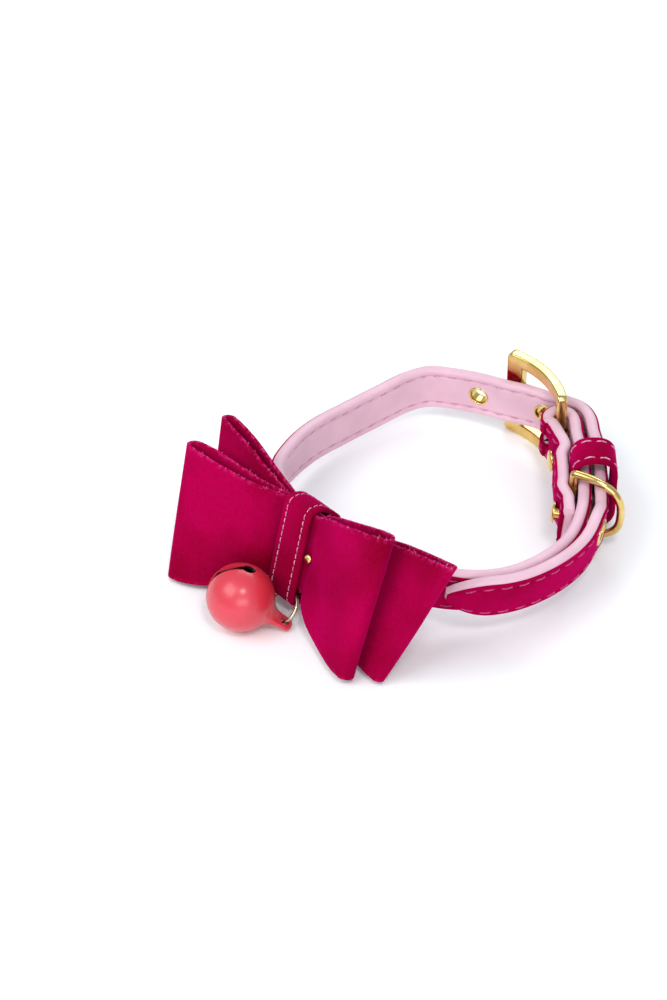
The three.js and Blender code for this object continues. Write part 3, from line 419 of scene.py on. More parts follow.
def strap_way():
    """Centres and axes of the strap's sections. The fold is a half circle about the pivot bar:
    origin - along * r * cos(a) + out * r * (sin(a) - 1), from a = -90 to 90 degrees."""
    tail = np.linspace(TAIL_LENGTH, 0, round(TAIL_LENGTH / STRAP_STEP))[:-1]
    tail_centres = loop_point(tail, -eased_table(*TAIL_GAPS, tail))
    origin, along, out, _ = loop_axes(0.0)
    angle = (np.pi * (np.arange(FOLD_STEPS) / FOLD_STEPS - 0.5))[:, None]
    fold_centres = origin - along * FOLD_RADIUS * np.cos(angle) + out * FOLD_RADIUS * (np.sin(angle) - 1)
    round_neck = LOOP_LENGTH - FRAME_LENGTH
    neck = np.linspace(0, round_neck, round(round_neck / STRAP_STEP))[:-1]
    free = np.linspace(-FRAME_LENGTH, FREE_END, round((FREE_END + FRAME_LENGTH) / STRAP_STEP))
    lift = FREE_LIFT * eased_table(*FREE_LIFTS, free)
    free_centres = loop_point(free, eased_table(*FREE_GAPS, free), lift)
    centres = np.vstack([tail_centres, fold_centres, loop_point(neck, 0.0), free_centres])
    ups = [loop_axes(stations)[3] for stations in (tail, np.zeros(FOLD_STEPS), neck, free)]
    along = unit(np.gradient(centres, axis=0))
    out = unit(np.cross(np.vstack(ups), along))
    walked = lengths_along(centres)
    return centres, along, out, np.cross(along, out), walked - walked[len(tail) + FOLD_STEPS]


STRAP_CENTRES, STRAP_ALONG, STRAP_OUT, STRAP_UP, STRAP_AT = strap_way()
STRAP_END = STRAP_AT[-1]


def strap_axes(at):
    """Origin, along, out and up at lengths along the strap, between its sections."""
    origin, *axes = (np.stack([np.interp(at, STRAP_AT, column) for column in table.T], -1)
                     for table in (STRAP_CENTRES, STRAP_ALONG, STRAP_OUT, STRAP_UP))
    return origin, *(unit(axis) for axis in axes)


print(f"the strap is {STRAP_END - STRAP_AT[0]:.0f} mm long in {len(STRAP_AT)} sections")

# %% [markdown]
# ## Where the drawing lies in the part
#
# The loop above is drawn round the neck's middle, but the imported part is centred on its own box. The
# shift between the two is found by measuring the same strap in both: the middle of the packed
# lining's box, less the middle of the lining's box here.

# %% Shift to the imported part
TIP_LENGTH = 9.0
TIP_SHARE = 0.16  # height of the strap's very tip, as a share of its width
LINING_THICKNESS = 1.4


def strap_height(at):
    """Width of the strap: full, and at the tip it falls as a root of a quarter sine, to TIP_SHARE."""
    to = np.clip((STRAP_END - at) / TIP_LENGTH, 0, 1)
    return STRAP_WIDTH * (TIP_SHARE + (1 - TIP_SHARE) * np.sin(0.5 * np.pi * to) ** 0.8)


def strap_points(n, y):
    """Points of the strap's sections, n out of its face and y across its width."""
    return STRAP_CENTRES[:, None] + n[..., None] * STRAP_OUT[:, None] + y[..., None] * STRAP_UP[:, None]


def lining_corners():
    """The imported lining's four corners at every section."""
    half = strap_height(STRAP_AT)[:, None] / 2
    n = np.broadcast_to([-HALF_STRAP, -HALF_STRAP, LINING_THICKNESS - HALF_STRAP] * 2, (len(half), 6))
    return strap_points(n, half * [1, -1, 1, 0.92, -0.92, -1])


def middle(points):
    """The middle of the box round the points."""
    return (points.min(0) + points.max(0)) / 2


def packed_middle(node):
    """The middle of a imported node's box, in millimetres."""
    return middle(np.array([list(corner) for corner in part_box(node)]) / MM)


SHIFT = packed_middle("strap_lining") - middle(lining_corners().reshape(-1, 3))
print("the drawing is shifted by", SHIFT.round(2), "mm")

# %% [markdown]
# ## Velvet
#
# Velvet is a dense pile of short upright threads. It looks deep and saturated where it is seen
# straight on and paler at its edges, because the sides of the threads catch the light there. A
# sheen layer does that. The pile never lies quite the same way, so soft clouds of lighter and
# darker magenta cross it, and a very fine bump breaks up the light.

# %% Velvet
VELVET_DEEP = (0.21, 0.0, 0.013, 1.0)
VELVET_BRIGHT = (0.38, 0.0, 0.052, 1.0)
VELVET_RAW = (0.60, 0.02, 0.17, 1.0)


def blank_material(name, **sockets):
    """A material whose shader has the given values on its own sockets, with its nodes and links."""
    finish = bpy.data.materials.new(name)
    finish.use_nodes = True
    nodes, links = finish.node_tree.nodes, finish.node_tree.links
    shader = nodes["Principled BSDF"]
    for socket, value in sockets.items():
        shader.inputs[socket.replace("_", " ")].default_value = value
    return finish, nodes, links, shader


def add_noise(nodes, links, scale, detail=3.0, kind="ShaderNodeTexNoise", stretch=None):
    """A noise texture on Object coordinates. scale counts its cells in a metre."""
    where = nodes.new("ShaderNodeTexCoord").outputs["Object"]
    if stretch is not None:
        mapping = nodes.new("ShaderNodeMapping")
        mapping.inputs["Scale"].default_value = stretch
        links.new(where, mapping.inputs["Vector"])
        where = mapping.outputs["Vector"]
    noise = nodes.new(kind)
    noise.inputs["Scale"].default_value = scale
    if "Detail" in noise.inputs:
        noise.inputs["Detail"].default_value = detail
    links.new(where, noise.inputs["Vector"])
    return noise.outputs["Fac"] if "Fac" in noise.outputs else noise.outputs["Distance"]


def add_ramp(nodes, links, value, stops):
    """Colours along a value: each stop is a place from 0 to 1 and a colour."""
    ramp = nodes.new("ShaderNodeValToRGB")
    while len(ramp.color_ramp.elements) < len(stops):
        ramp.color_ramp.elements.new(0.5)
    for element, (place, colour) in zip(ramp.color_ramp.elements, stops):
        element.position, element.color = place, colour
    links.new(value, ramp.inputs["Fac"])
    return ramp.outputs["Color"]


def mottled(nodes, links, scale, detail, low, high):
    """Noise as a colour. low and high end its ramp: each a place from 0 to 1, and a colour or a grey."""
    stops = [(place, tone if isinstance(tone, tuple) else (tone, tone, tone, 1))
             for place, tone in (low, high)]
    return add_ramp(nodes, links, add_noise(nodes, links, scale, detail=detail), stops)


def add_bump(nodes, links, height, strength, distance):
    """A bump whose height is a texture and whose depth is a distance in metres."""
    bump = nodes.new("ShaderNodeBump")
    bump.inputs["Strength"].default_value = strength
    bump.inputs["Distance"].default_value = distance
    links.new(height, bump.inputs["Height"])
    return bump


def add_relief(nodes, links, shader, height, strength, distance):
    """A bump that bends the shader's own normal."""
    bump = add_bump(nodes, links, height, strength, distance)
    links.new(bump.outputs["Normal"], shader.inputs["Normal"])
    return bump


def blend_colours(nodes, links, share, first, second, way="MIX"):
    """One colour mixed into another by a share, each a socket or a plain colour."""
    blend = nodes.new("ShaderNodeMix")
    blend.data_type, blend.blend_type = "RGBA", way
    for socket, value in ((blend.inputs[0], share), (blend.inputs[6], first), (blend.inputs[7], second)):
        if isinstance(value, bpy.types.NodeSocket):
            links.new(value, socket)
        else:
            socket.default_value = value
    return blend.outputs[2]


def velvet_finish():
    """Magenta pile: clouds of 18 mm and less, flecks under a millimetre, and a raw edge by cut_edge."""
    finish, nodes, links, shader = blank_material(
        "velvet", Roughness=0.9, Sheen_Weight=0.5, Sheen_Roughness=0.45,
        Sheen_Tint=(1.0, 0.0, 0.30, 1.0), Specular_IOR_Level=0.02)
    tone = mottled(nodes, links, 55, 2.5, (0.34, VELVET_DEEP), (0.66, VELVET_BRIGHT))
    nap = mottled(nodes, links, 1500, 2, (0.3, 0.90), (0.7, 1.06))
    tone = blend_colours(nodes, links, 1.0, tone, nap, "MULTIPLY")
    edge = nodes.new("ShaderNodeAttribute")
    edge.attribute_name = "cut_edge"
    specks = nodes.new("ShaderNodeMath")
    specks.operation = "MULTIPLY"
    links.new(edge.outputs["Fac"], specks.inputs[0])
    links.new(mottled(nodes, links, 1300, 3, (0.46, 0.0), (0.62, 1.0)), specks.inputs[1])
    tone = blend_colours(nodes, links, specks.outputs[0], tone, VELVET_RAW)
    links.new(tone, shader.inputs["Base Color"])
    add_relief(nodes, links, shader, add_noise(nodes, links, 2600, detail=2), 0.5, 0.00012)
    return finish


VELVET = velvet_finish()
print("velvet has", len(VELVET.node_tree.nodes), "nodes")

# %% [markdown]
# ## Leatherette, thread, brass, enamel and steel
#
# The lining is a soft coated cloth with a fine pebbled grain and a dull shine. Thread is a little
# lighter than the velvet and a little darker than the lining. The fittings are plated: their colour is all
# reflection, so the plating gets its life from a roughness that changes slowly and from
# faint scratches. The bell is lacquered, with a broad soft highlight.

# %% Leatherette, thread, brass, enamel and steel


def leatherette_finish():
    """Pale pink with faint mottling, a grain of small cells 0.5 mm across, and a low shine."""
    finish, nodes, links, shader = blank_material(
        "leatherette", Specular_IOR_Level=0.45, Coat_Weight=0.06, Coat_Roughness=0.35)
    pinks = mottled(nodes, links, 160, 4, (0.3, (0.69, 0.42, 0.515, 1)), (0.7, (0.76, 0.485, 0.575, 1)))
    links.new(pinks, shader.inputs["Base Color"])
    links.new(mottled(nodes, links, 420, 3, (0.3, 0.40), (0.7, 0.54)), shader.inputs["Roughness"])
    cells = add_noise(nodes, links, 2200, kind="ShaderNodeTexVoronoi")
    grain = add_bump(nodes, links, cells, 0.35, 0.00005)
    creases = add_relief(nodes, links, shader, add_noise(nodes, links, 260, detail=5), 0.3, 0.00025)
    links.new(grain.outputs["Normal"], creases.inputs["Normal"])
    return finish


def thread_finish(name, dark, light):
    """Twisted thread: two tones of one colour in a fine noise, with a soft sheen."""
    finish, nodes, links, shader = blank_material(
        name, Roughness=0.62, Sheen_Weight=0.35, Sheen_Roughness=0.4, Specular_IOR_Level=0.3)
    twist = add_noise(nodes, links, 2400, detail=2)
    links.new(add_ramp(nodes, links, twist, [(0.35, dark), (0.65, light)]), shader.inputs["Base Color"])
    add_relief(nodes, links, shader, twist, 0.6, 0.0001)
    return finish


def plated_finish(name, dark, light, rough_low, rough_high):
    """Plated metal: a slow change of tone and roughness, and hairline scratches as a faint bump."""
    finish, nodes, links, shader = blank_material(name, Metallic=1.0)
    links.new(mottled(nodes, links, 230, 4, (0.32, dark), (0.66, light)), shader.inputs["Base Color"])
    shine = mottled(nodes, links, 700, 5, (0.3, rough_low), (0.75, rough_high))
    links.new(shine, shader.inputs["Roughness"])
    scratches = add_noise(nodes, links, 900, detail=4, stretch=(1, 0.12, 2.5))
    add_relief(nodes, links, shader, scratches, 0.12, 0.00006)
    return finish


def enamel_finish():
    """Coral lacquer: almost even in tone, satin, with the slight orange-peel of a sprayed coat. The inner
    skin, where the attribute inside is 1, is painted near black: painted shade for the dark hollow behind
    the slot."""
    finish, nodes, links, shader = blank_material(
        "coral_enamel", Specular_IOR_Level=0.5, Coat_Weight=0.5, Coat_Roughness=0.2)
    tone = mottled(nodes, links, 190, 3, (0.3, (0.60, 0.024, 0.046, 1)), (0.7, (0.65, 0.030, 0.055, 1)))
    # Painted shade: as the attribute inside rises from 0.05 to 0.35, the coral fades to near black,
    # standing in for the shade inside the hollow shell and on the slot's wall.
    inside = nodes.new("ShaderNodeAttribute")
    inside.attribute_name = "inside"
    painted_shade_share = add_ramp(nodes, links, inside.outputs["Fac"], [(0.05, (0, 0, 0, 1)), (0.35, (1, 1, 1, 1))])
    coat = blend_colours(nodes, links, painted_shade_share, tone, (0.012, 0.006, 0.005, 1))
    links.new(coat, shader.inputs["Base Color"])
    links.new(mottled(nodes, links, 500, 3, (0.3, 0.36), (0.7, 0.44)), shader.inputs["Roughness"])
    add_relief(nodes, links, shader, add_noise(nodes, links, 800, detail=2), 0.15, 0.00004)
    return finish


LEATHERETTE = leatherette_finish()
PALE_THREAD = thread_finish("pale_thread", (0.55, 0.12, 0.27, 1), (0.82, 0.42, 0.58, 1))
ROSE_THREAD = thread_finish("rose_thread", (0.44, 0.015, 0.13, 1), (0.62, 0.07, 0.25, 1))
MAUVE_THREAD = thread_finish("mauve_thread", (0.56, 0.24, 0.37, 1), (0.76, 0.40, 0.54, 1))
BRASS = plated_finish("brass", (0.66, 0.43, 0.12, 1), (0.83, 0.62, 0.24, 1), 0.12, 0.26)
PALE_BRASS = plated_finish("pale_brass", (0.46, 0.40, 0.27, 1), (0.68, 0.62, 0.46, 1), 0.18, 0.34)
CORAL = enamel_finish()
STEEL = plated_finish("steel", (0.42, 0.41, 0.40, 1), (0.62, 0.61, 0.60, 1), 0.18, 0.34)
FINISHES = (LEATHERETTE, PALE_THREAD, ROSE_THREAD, MAUVE_THREAD, BRASS, PALE_BRASS, CORAL, STEEL)
print("finishes:", [finish.name for finish in FINISHES])

# %% [markdown]
# ## The leatherette lining
#
# The lining is wider than the velvet. Its edges are turned over towards the velvet, so that from
# above each edge is a plump pink roll. A row of stitches runs inside each roll and pulls
# a groove into the surface. The lining could be a bevelled strip with a bump map, but the roll and the
# grooves catch the light along the whole inside of the collar, so they are real shape: one closed outline,
# drawn across the strap, and carried along it.

# %% Lining
STITCH_INSET = 1.65  # from the strap's edge to its stitch rows
STITCH_PITCH = 3.4
ROLL_WIDTH = 0.78
LINING_FACE = -HALF_STRAP
ROLL_SWELL = 0.12
ROLL_TOP = 0.78
SWELL_INSET = 0.8
SWELL_WIDTH = 0.5
LINING_UNDER = 0.35
UNDER_HALF = 3.9
CAP_SHARE = 0.8  # a cap's size, as a share of the cut end's
CAP_RISE = 0.35
LINING_GROOVE = (0.34, 0.22)  # depth and width, as is VELVET_GROOVE
# Points across half the strap, as distances from its edge, closest together in the groove.
FROM_EDGE = np.array([
    0.8, 0.95, 1.12, 1.28, 1.41, 1.52, 1.61, 1.69, 1.78, 1.9, 2.05, 2.25, 2.6, 3.2, 4.0, 5.0,
])


def stitch_groove(distance, at, depth, width):
    """A Gaussian furrow along the stitch row, deepest where the thread goes in."""
    wave = 0.7 + 0.3 * np.cos(2 * np.pi * at / STITCH_PITCH + np.pi)
    return depth * np.exp(-(((distance - STITCH_INSET) / width) ** 2)) * wave


def lining_outline():
    """n and y of the outline at each section: the inner face with its swellings and furrows, a half
    ellipse round each edge, and a flat underside that the velvet covers. y shrinks with the tip."""
    at = STRAP_AT[:, None]
    half_width = STRAP_WIDTH / 2
    inner_y = np.concatenate([FROM_EDGE - half_width, (half_width - FROM_EDGE)[-2::-1]])
    distance = half_width - np.abs(inner_y)
    inner_n = LINING_FACE - ROLL_SWELL * np.exp(-(((distance - SWELL_INSET) / SWELL_WIDTH) ** 2))
    inner_n = inner_n + stitch_groove(distance, at, *LINING_GROOVE)
    phi = np.radians(np.linspace(-80, 90, 12))
    roll_middle = (LINING_FACE - ROLL_SWELL + ROLL_TOP) / 2
    roll_radius = (ROLL_TOP - LINING_FACE + ROLL_SWELL) / 2
    roll_n = np.broadcast_to(roll_middle + roll_radius * np.sin(phi), (len(at), len(phi)))
    roll_y = half_width - ROLL_WIDTH + ROLL_WIDTH * np.cos(phi)
    under_y = np.array([UNDER_HALF, 0.0, -UNDER_HALF])
    under_n = np.full((len(at), 3), LINING_UNDER)
    n = np.hstack([inner_n, roll_n, under_n, roll_n[:, ::-1]])
    y = np.concatenate([inner_y, roll_y, under_y, -roll_y[::-1]])
    return n, y * strap_height(at) / STRAP_WIDTH


def closed_run(rings):
    """Points and faces of a surface through rings of points, with a flat face on each end."""
    rows, columns = rings.shape[:2]
    ends = [np.arange(columns)[None, :], np.arange((rows - 1) * columns, rows * columns)[None, ::-1]]
    sides = grid_faces(rows, columns, wrap_columns=True)
    return rings.reshape(-1, 3), [sides, np.vstack(ends)]


def capped(rings):
    """Adds a smaller ring beyond each end, so that a cut end is slightly rounded."""
    caps = []
    for ring, beside in ((rings[0], rings[1]), (rings[-1], rings[-2])):
        centre = ring.mean(0)
        outwards = unit(centre - beside.mean(0))
        caps.append(centre + (ring - centre) * CAP_SHARE + outwards * CAP_RISE)
    return np.concatenate([caps[0][None], rings, caps[1][None]])


lining = make_object("lining", *closed_run(capped(strap_points(*lining_outline()))))
print("lining sections:", len(STRAP_AT), "points across:", lining_outline()[0].shape[1])

# %% [markdown]
# ## The velvet ply
#
# The velvet is a thin strip that lies between the two rolls. Its edges are cut and slightly rounded by
# the pile, and the stitches pull it down. It is made in the same way as the lining, from one outline.

# %% Velvet ply
VELVET_FACE = 1.2
VELVET_UNDER = 0.4
VELVET_HALF = 4.32
VELVET_ROUND = 0.36
VELVET_GROOVE = (0.26, 0.30)


def velvet_outline():
    """n and y of the ply: the outer face with its furrows, a quarter circle at each edge, a flat back."""
    at = STRAP_AT[:, None]
    half_width = STRAP_WIDTH / 2
    inside = FROM_EDGE[FROM_EDGE > half_width - VELVET_HALF + VELVET_ROUND]
    face_y = np.concatenate([inside - half_width, (half_width - inside)[-2::-1]])
    face_n = VELVET_FACE - stitch_groove(half_width - np.abs(face_y), at, *VELVET_GROOVE)
    phi = np.radians(np.linspace(90, 0, 6))
    edge_y = VELVET_HALF - VELVET_ROUND + VELVET_ROUND * np.cos(phi)
    edge_n = np.broadcast_to(VELVET_FACE - VELVET_ROUND + VELVET_ROUND * np.sin(phi), (len(at), 6))
    under_y = np.array([VELVET_HALF, 0.0, -VELVET_HALF])
    under_n = np.full((len(at), 3), VELVET_UNDER)
    n = np.hstack([face_n, edge_n, under_n, edge_n[:, ::-1]])
    y = np.concatenate([face_y, edge_y, under_y, -edge_y[::-1]])
    return n, y * strap_height(at) / STRAP_WIDTH


velvet_ply = make_object("velvet_ply", *closed_run(strap_points(*velvet_outline())))
print("velvet ply points across:", velvet_outline()[0].shape[1])

# %% [markdown]
# ## Holes in the strap
#
# Five round holes take the eyelets, and a short slot at the fold lets the prong out. Each hole is cut
# by a plain prism, which a Boolean takes away from both plies before the prism is thrown away. The
# eyelets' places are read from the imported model, and the nearest point of the strap gives their axes.

# %% Holes
EYELETS = 5
HOLE_RADIUS = 2.15
HOLE_REACH = 2.2  # how far a hole's prism goes on each side of the strap's middle
SLOT_TURN = 2.17  # radians that the prong's slot reaches to either side of the fold's far point
SLOT_PLAY = 0.2
PRONG_WIDTH = 1.9
FRAME_BULGE = 1.7
FRAME_THICKNESS = 2.2
END_BAR_WIDTH = 3.6


def prism(name, outline, origin, x_axis, y_axis, axis, low, high):
    """A closed prism: an outline in the plane of two axes, from low to high along the third."""
    flat = origin + outline[:, :1] * x_axis + outline[:, 1:] * y_axis
    return make_object(name, *closed_run(np.stack([flat + low * axis, flat + high * axis])))


def circle(radius, sides):
    """Points evenly round a circle."""
    angle = turns(sides)
    return radius * np.stack([np.cos(angle), np.sin(angle)], -1)


def carve(cutters, *pieces):
    """Takes the cutters away from each piece, makes the result its mesh, and deletes the cutters."""
    for piece in pieces:
        for cutter in cutters:
            step = piece.modifiers.new("hole", "BOOLEAN")
            step.operation, step.solver, step.object = "DIFFERENCE", "MANIFOLD", cutter
        carved = piece.evaluated_get(bpy.context.evaluated_depsgraph_get())
        shape = bpy.data.meshes.new_from_object(carved)
        piece.modifiers.clear()
        old, piece.data = piece.data, shape
        bpy.data.meshes.remove(old)
        shape.set_sharp_from_angle(angle=SHARP)
    for cutter in cutters:
        bpy.data.objects.remove(cutter)


def nearest_length(node):
    """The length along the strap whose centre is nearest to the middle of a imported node's box."""
    place = packed_middle(node) - SHIFT
    return STRAP_AT[np.argmin(np.linalg.norm(STRAP_CENTRES - place, axis=1))]


EYELETS_AT = [nearest_length(f"eyelet_{i + 1}") for i in range(EYELETS)]


def pivot_axes():
    """The buckle's axes at its pivot bar: along points level to the end bar, out away from the neck."""
    pivot = loop_point(0.0, -FOLD_RADIUS)
    tilt = math.atan(4 * FRAME_BULGE / FRAME_LENGTH)
    depth = FRAME_THICKNESS / 2 * math.cos(tilt) + END_BAR_WIDTH / 2 * math.sin(tilt)
    end_bar = loop_point(-FRAME_LENGTH + END_BAR_WIDTH / 2, HALF_STRAP + CLEARANCE + depth)
    along = unit((end_bar - pivot) * [1, 1, 0])
    return pivot, along, np.cross(along, UP), float(np.linalg.norm(end_bar - pivot))


PIVOT, BUCKLE_ALONG, BUCKLE_OUT, BUCKLE_SPAN = pivot_axes()


def strap_cutters():
    """A round prism through the strap at each eyelet, and part of a disc at the fold for the prong."""
    cutters = []
    for at in EYELETS_AT:
        origin, along, out, up = strap_axes(at)
        outline = circle(HOLE_RADIUS, 40)
        cutters.append(prism("cutter", outline, origin, along, up, out, -HOLE_REACH, HOLE_REACH))
    reach = FOLD_RADIUS + HALF_STRAP + SLOT_PLAY
    angle = np.linspace(-SLOT_TURN, SLOT_TURN, 24)
    sector = np.stack([reach * np.cos(angle), reach * np.sin(angle)], -1)
    half = PRONG_WIDTH / 2 + CLEARANCE
    cutters.append(prism("cutter", sector, PIVOT, BUCKLE_ALONG, BUCKLE_OUT, UP, -half, half))
    return cutters


carve(strap_cutters(), lining, velvet_ply)
finish_piece(lining, LEATHERETTE, "lining", "strap_lining")
finish_piece(velvet_ply, VELVET, "velvet", "strap_velvet")

# %% [markdown]
# ## Stitches
#
# Two rows of lockstitch hold the plies together. Seen from either side, each stitch is a short piece
# of thread that rises out of the cloth, runs straight, and dives back. All the stitches of a row are
# made at once, as one array of small tubes: a row of centres, five points along each stitch, and a
# few points round each of those.

# %% Stitches
STITCH_STEPS = np.array([-0.5, -0.38, 0.0, 0.38, 0.5])
STITCH_LIFTS = np.array([-0.9, 0.25, 0.75, 0.25, -0.9])
STITCH_THICKNESS = np.array([0.7, 1.0, 1.0, 1.0, 0.7])
STITCH_RISE = 1.6  # the lifts count in this many radii
STITCH_SIDES = 6
STITCH_RADIUS = 0.14
STITCH_SLANT = 0.16
OUTER_STITCH, INNER_STITCH = 2.3, 2.1
OUTER_SEAT, INNER_SEAT = 1.04, -1.06  # from the strap's middle, out of each face
FIRST_STITCH, LAST_STITCH = 2.0, 2.4  # from the strap's ends


def many_runs(tubes):
    """Points and faces of many closed runs of one kind. The array goes by tube, by ring and by point."""
    count, rows, columns = tubes.shape[:3]
    one = closed_run(tubes[0])[1]
    first = (np.arange(count) * rows * columns)[:, None, None]
    return tubes.reshape(-1, 3), [(faces[None] + first).reshape(-1, faces.shape[1]) for faces in one]


def stitch_tubes(centres, place_of, length, radius, slant):
    """Small tubes along a line. place_of gives the point and the way out at a length; each tube follows
    it for a stitch's length, rises by shares of its radius, and slants sideways."""
    at = centres[:, None] + STITCH_STEPS * length
    point, out = place_of(at)
    along = unit(np.gradient(point, axis=1))
    side = unit(np.cross(out, along))
    middle_line = point + out * (STITCH_LIFTS * radius * STITCH_RISE)[:, None]
    middle_line = middle_line + side * (STITCH_STEPS * slant)[:, None]
    angle = turns(STITCH_SIDES)
    thick = radius * STITCH_THICKNESS[:, None, None]
    ring = (side[:, :, None] * (np.cos(angle)[:, None] * thick)
            + out[:, :, None] * (np.sin(angle)[:, None] * thick))
    return many_runs(middle_line[:, :, None] + ring)


def join_runs(runs):
    """Several sets of points and faces as one."""
    points, groups, offset = [], [], 0
    for run_points, run_faces in runs:
        points.append(run_points)
        groups += [faces + offset for faces in run_faces]
        offset += len(run_points)
    return np.vstack(points), groups


def strap_row(height, side):
    """Gives the point and the way out on a stitch row: height from the strap's middle, side +1 or -1."""
    def place(at):
        origin, _, out, up = strap_axes(at)
        across = side * (0.5 - STITCH_INSET / STRAP_WIDTH) * strap_height(at)[..., None]
        return origin + out * height + up * across, out * np.sign(height)
    return place


stitch_places = np.arange(STRAP_AT[0] + FIRST_STITCH, STRAP_END - LAST_STITCH, STITCH_PITCH)
for name, seat, length, ahead, thread in (
        ("outer_stitches", OUTER_SEAT, OUTER_STITCH, 0, ROSE_THREAD),
        ("inner_stitches", INNER_SEAT, INNER_STITCH, STITCH_PITCH / 2, MAUVE_THREAD)):
    rows = [stitch_tubes(stitch_places + ahead, strap_row(seat, side), length, STITCH_RADIUS, STITCH_SLANT)
            for side in (1, -1)]
    dress(name, join_runs(rows), thread, "lining")
print("stitches in a row:", len(stitch_places))

# %% [markdown]
# ## Buckle frame
#
# The frame is cast: a rectangle with small outer corners, arched so that it follows the neck. It is
# an outline of outer points, each with its partner on the inner edge, and between the two a rounded
# section is carried round. Bending comes last: each point is moved onto a parabola.

# %% Buckle frame
PIVOT_BAR = 2.0
FRAME_HEIGHT = 20.0
FRAME_SIDE = 2.7
FRAME_CORNER = 1.2
WINDOW_CORNER = 0.6
FRAME_ROUND = 0.4


def arched(x, y, z):
    """Onto the arch: rise is 4 * bulge * s * (1 - s) at the share s of the span; z is square to it."""
    on_arch = np.clip(x, 0, BUCKLE_SPAN)
    share = on_arch / BUCKLE_SPAN
    rise = 4 * FRAME_BULGE * share * (1 - share)
    slope = np.arctan(4 * FRAME_BULGE * (1 - 2 * share) / BUCKLE_SPAN)
    run, climb = np.cos(slope), np.sin(slope)
    x, depth = on_arch + (x - on_arch) * run - z * climb, rise + (x - on_arch) * climb + z * run
    return PIVOT + x[..., None] * BUCKLE_ALONG + y[..., None] * UP + depth[..., None] * BUCKLE_OUT


def frame_outline(left, right, half, radius):
    """Points round a rectangle with rounded corners: eight steps a corner, and 24 along arched sides."""
    arc, side = np.radians(np.linspace(0, 90, 9)), np.linspace(0, 1, 25)[1:-1]
    points = []
    for quarter, (sx, sy) in enumerate(((1, 1), (-1, 1), (-1, -1), (1, -1))):
        cx, cy = (right - radius if sx > 0 else left + radius), sy * (half - radius)
        angle = arc + quarter * np.pi / 2
        points.append(np.stack([cx + radius * np.cos(angle), cy + radius * np.sin(angle)], -1))
        if sx * sy > 0:
            end = left + radius if sx > 0 else right - radius
            points.append(np.stack([mix(cx, end, side), np.full(len(side), sy * half)], -1))
    return np.vstack(points)


def frame_rings():
    """Sections between the outer and inner outlines: flats with support points and rounded corners."""
    outer = frame_outline(-PIVOT_BAR / 2, BUCKLE_SPAN + END_BAR_WIDTH / 2, FRAME_HEIGHT / 2, FRAME_CORNER)
    inner = frame_outline(PIVOT_BAR / 2, BUCKLE_SPAN - END_BAR_WIDTH / 2, FRAME_HEIGHT / 2 - FRAME_SIDE,
                          WINDOW_CORNER)
    width = np.linalg.norm(inner - outer, axis=1)[:, None]
    deep = mix(PIVOT_BAR, FRAME_THICKNESS, ease((outer[:, :1] - PIVOT_BAR / 2) / 1.5)) / 2
    phi = np.radians([0, 22.5, 45, 67.5, 90])
    inset = FRAME_ROUND * np.concatenate([(1 - np.cos(phi)), [1.6]])
    drop = FRAME_ROUND * np.concatenate([(1 - np.sin(phi)), [0.0]])
    share = np.hstack([inset / width, 1 - inset[::-1] / width])
    z = np.hstack([deep - drop, deep - drop[::-1]])
    share, z = np.hstack([share, share[:, ::-1]]), np.hstack([z, -z[:, ::-1]])
    xy = mix(outer[:, None], inner[:, None], share[..., None])
    return arched(xy[..., 0], xy[..., 1], z)


def closed_loop(rings):
    """Points and faces of a surface through rings that meet again, like a wire ring."""
    rows, columns = rings.shape[:2]
    return rings.reshape(-1, 3), [grid_faces(rows, columns, True, True)]


dress("frame", closed_loop(frame_rings()), BRASS, "brass", "buckle_frame")

# %% [markdown]
# ## Prong
#
# The prong is a strip of the same metal, curled into a ring round the pivot bar. It comes up through
# the second eyelet and rests on the end bar, where it thins. Its line passes through points that are
# measured on the eyelet and on the frame, and a flat rounded section is swept along it.

# %% Prong
PRONG_THICKNESS = 1.3
PRONG_WALL = 0.8
PRONG_CORNER = 0.25
PRONG_RISE = 0.45  # the line is straight through the eyelet this far beyond the strap's clearance
PRONG_TAPER = 0.35
TAPER_START = 0.8  # as a share of the prong's length
CURL_INSIDE = PIVOT_REACH + 0.15
USED_EYELET = 1


def in_buckle_axes(vector):
    """A vector's parts along the buckle, up and out."""
    return np.array([vector @ BUCKLE_ALONG, vector @ UP, vector @ BUCKLE_OUT])


def prong_line():
    """The prong's middle line, from the curl's wall through the eyelet and over the end bar."""
    origin, _, out, _ = strap_axes(EYELETS_AT[USED_EYELET])
    hole = in_buckle_axes(origin - PIVOT) * [1, 0, 1]
    through = unit(in_buckle_axes(out) * [1, 0, 1])
    reach = HALF_STRAP + CLEARANCE + PRONG_RISE
    rest = FRAME_THICKNESS / 2 + CLEARANCE + PRONG_THICKNESS / 2
    curl = np.array([CURL_INSIDE + PRONG_WALL / 2, 0, 0])
    over = [np.array([BUCKLE_SPAN - END_BAR_WIDTH, rest + CLEARANCE]),
            np.array([BUCKLE_SPAN + END_BAR_WIDTH / 2, rest])]
    ends = [in_buckle_axes(arched(np.array(x), np.array(0.0), np.array(z)) - PIVOT) for x, z in over]
    sag = hole * [0.45, 0, 0.1]
    via = [curl, sag, hole - through * reach, hole, hole + through * reach, *ends]
    return spline(np.array(via), 14, closed=False)


def prong_rings():
    """A flat section with round edges along the line, which narrows over its last fifth."""
    line = evenly(prong_line(), 60)
    along = unit(np.gradient(line, axis=0))
    side = np.array([0.0, 1.0, 0.0])
    depth = unit(np.cross(side, along))
    t = np.linspace(0, 1, len(line))
    taper = (1 - PRONG_TAPER * ease((t - TAPER_START) / (1 - TAPER_START)))[:, None, None]
    wide, deep = (part[:, None] for part in squarish(turns(18), 0.6))
    ring = side * wide * PRONG_WIDTH / 2 + depth[:, None] * deep * PRONG_THICKNESS / 2
    local = line[:, None] + ring * taper
    local = np.concatenate([local, line[-1] + (local[-1:] - line[-1]) * 0.6 + along[-1] * 0.3])
    return PIVOT + local @ np.stack([BUCKLE_ALONG, UP, BUCKLE_OUT])


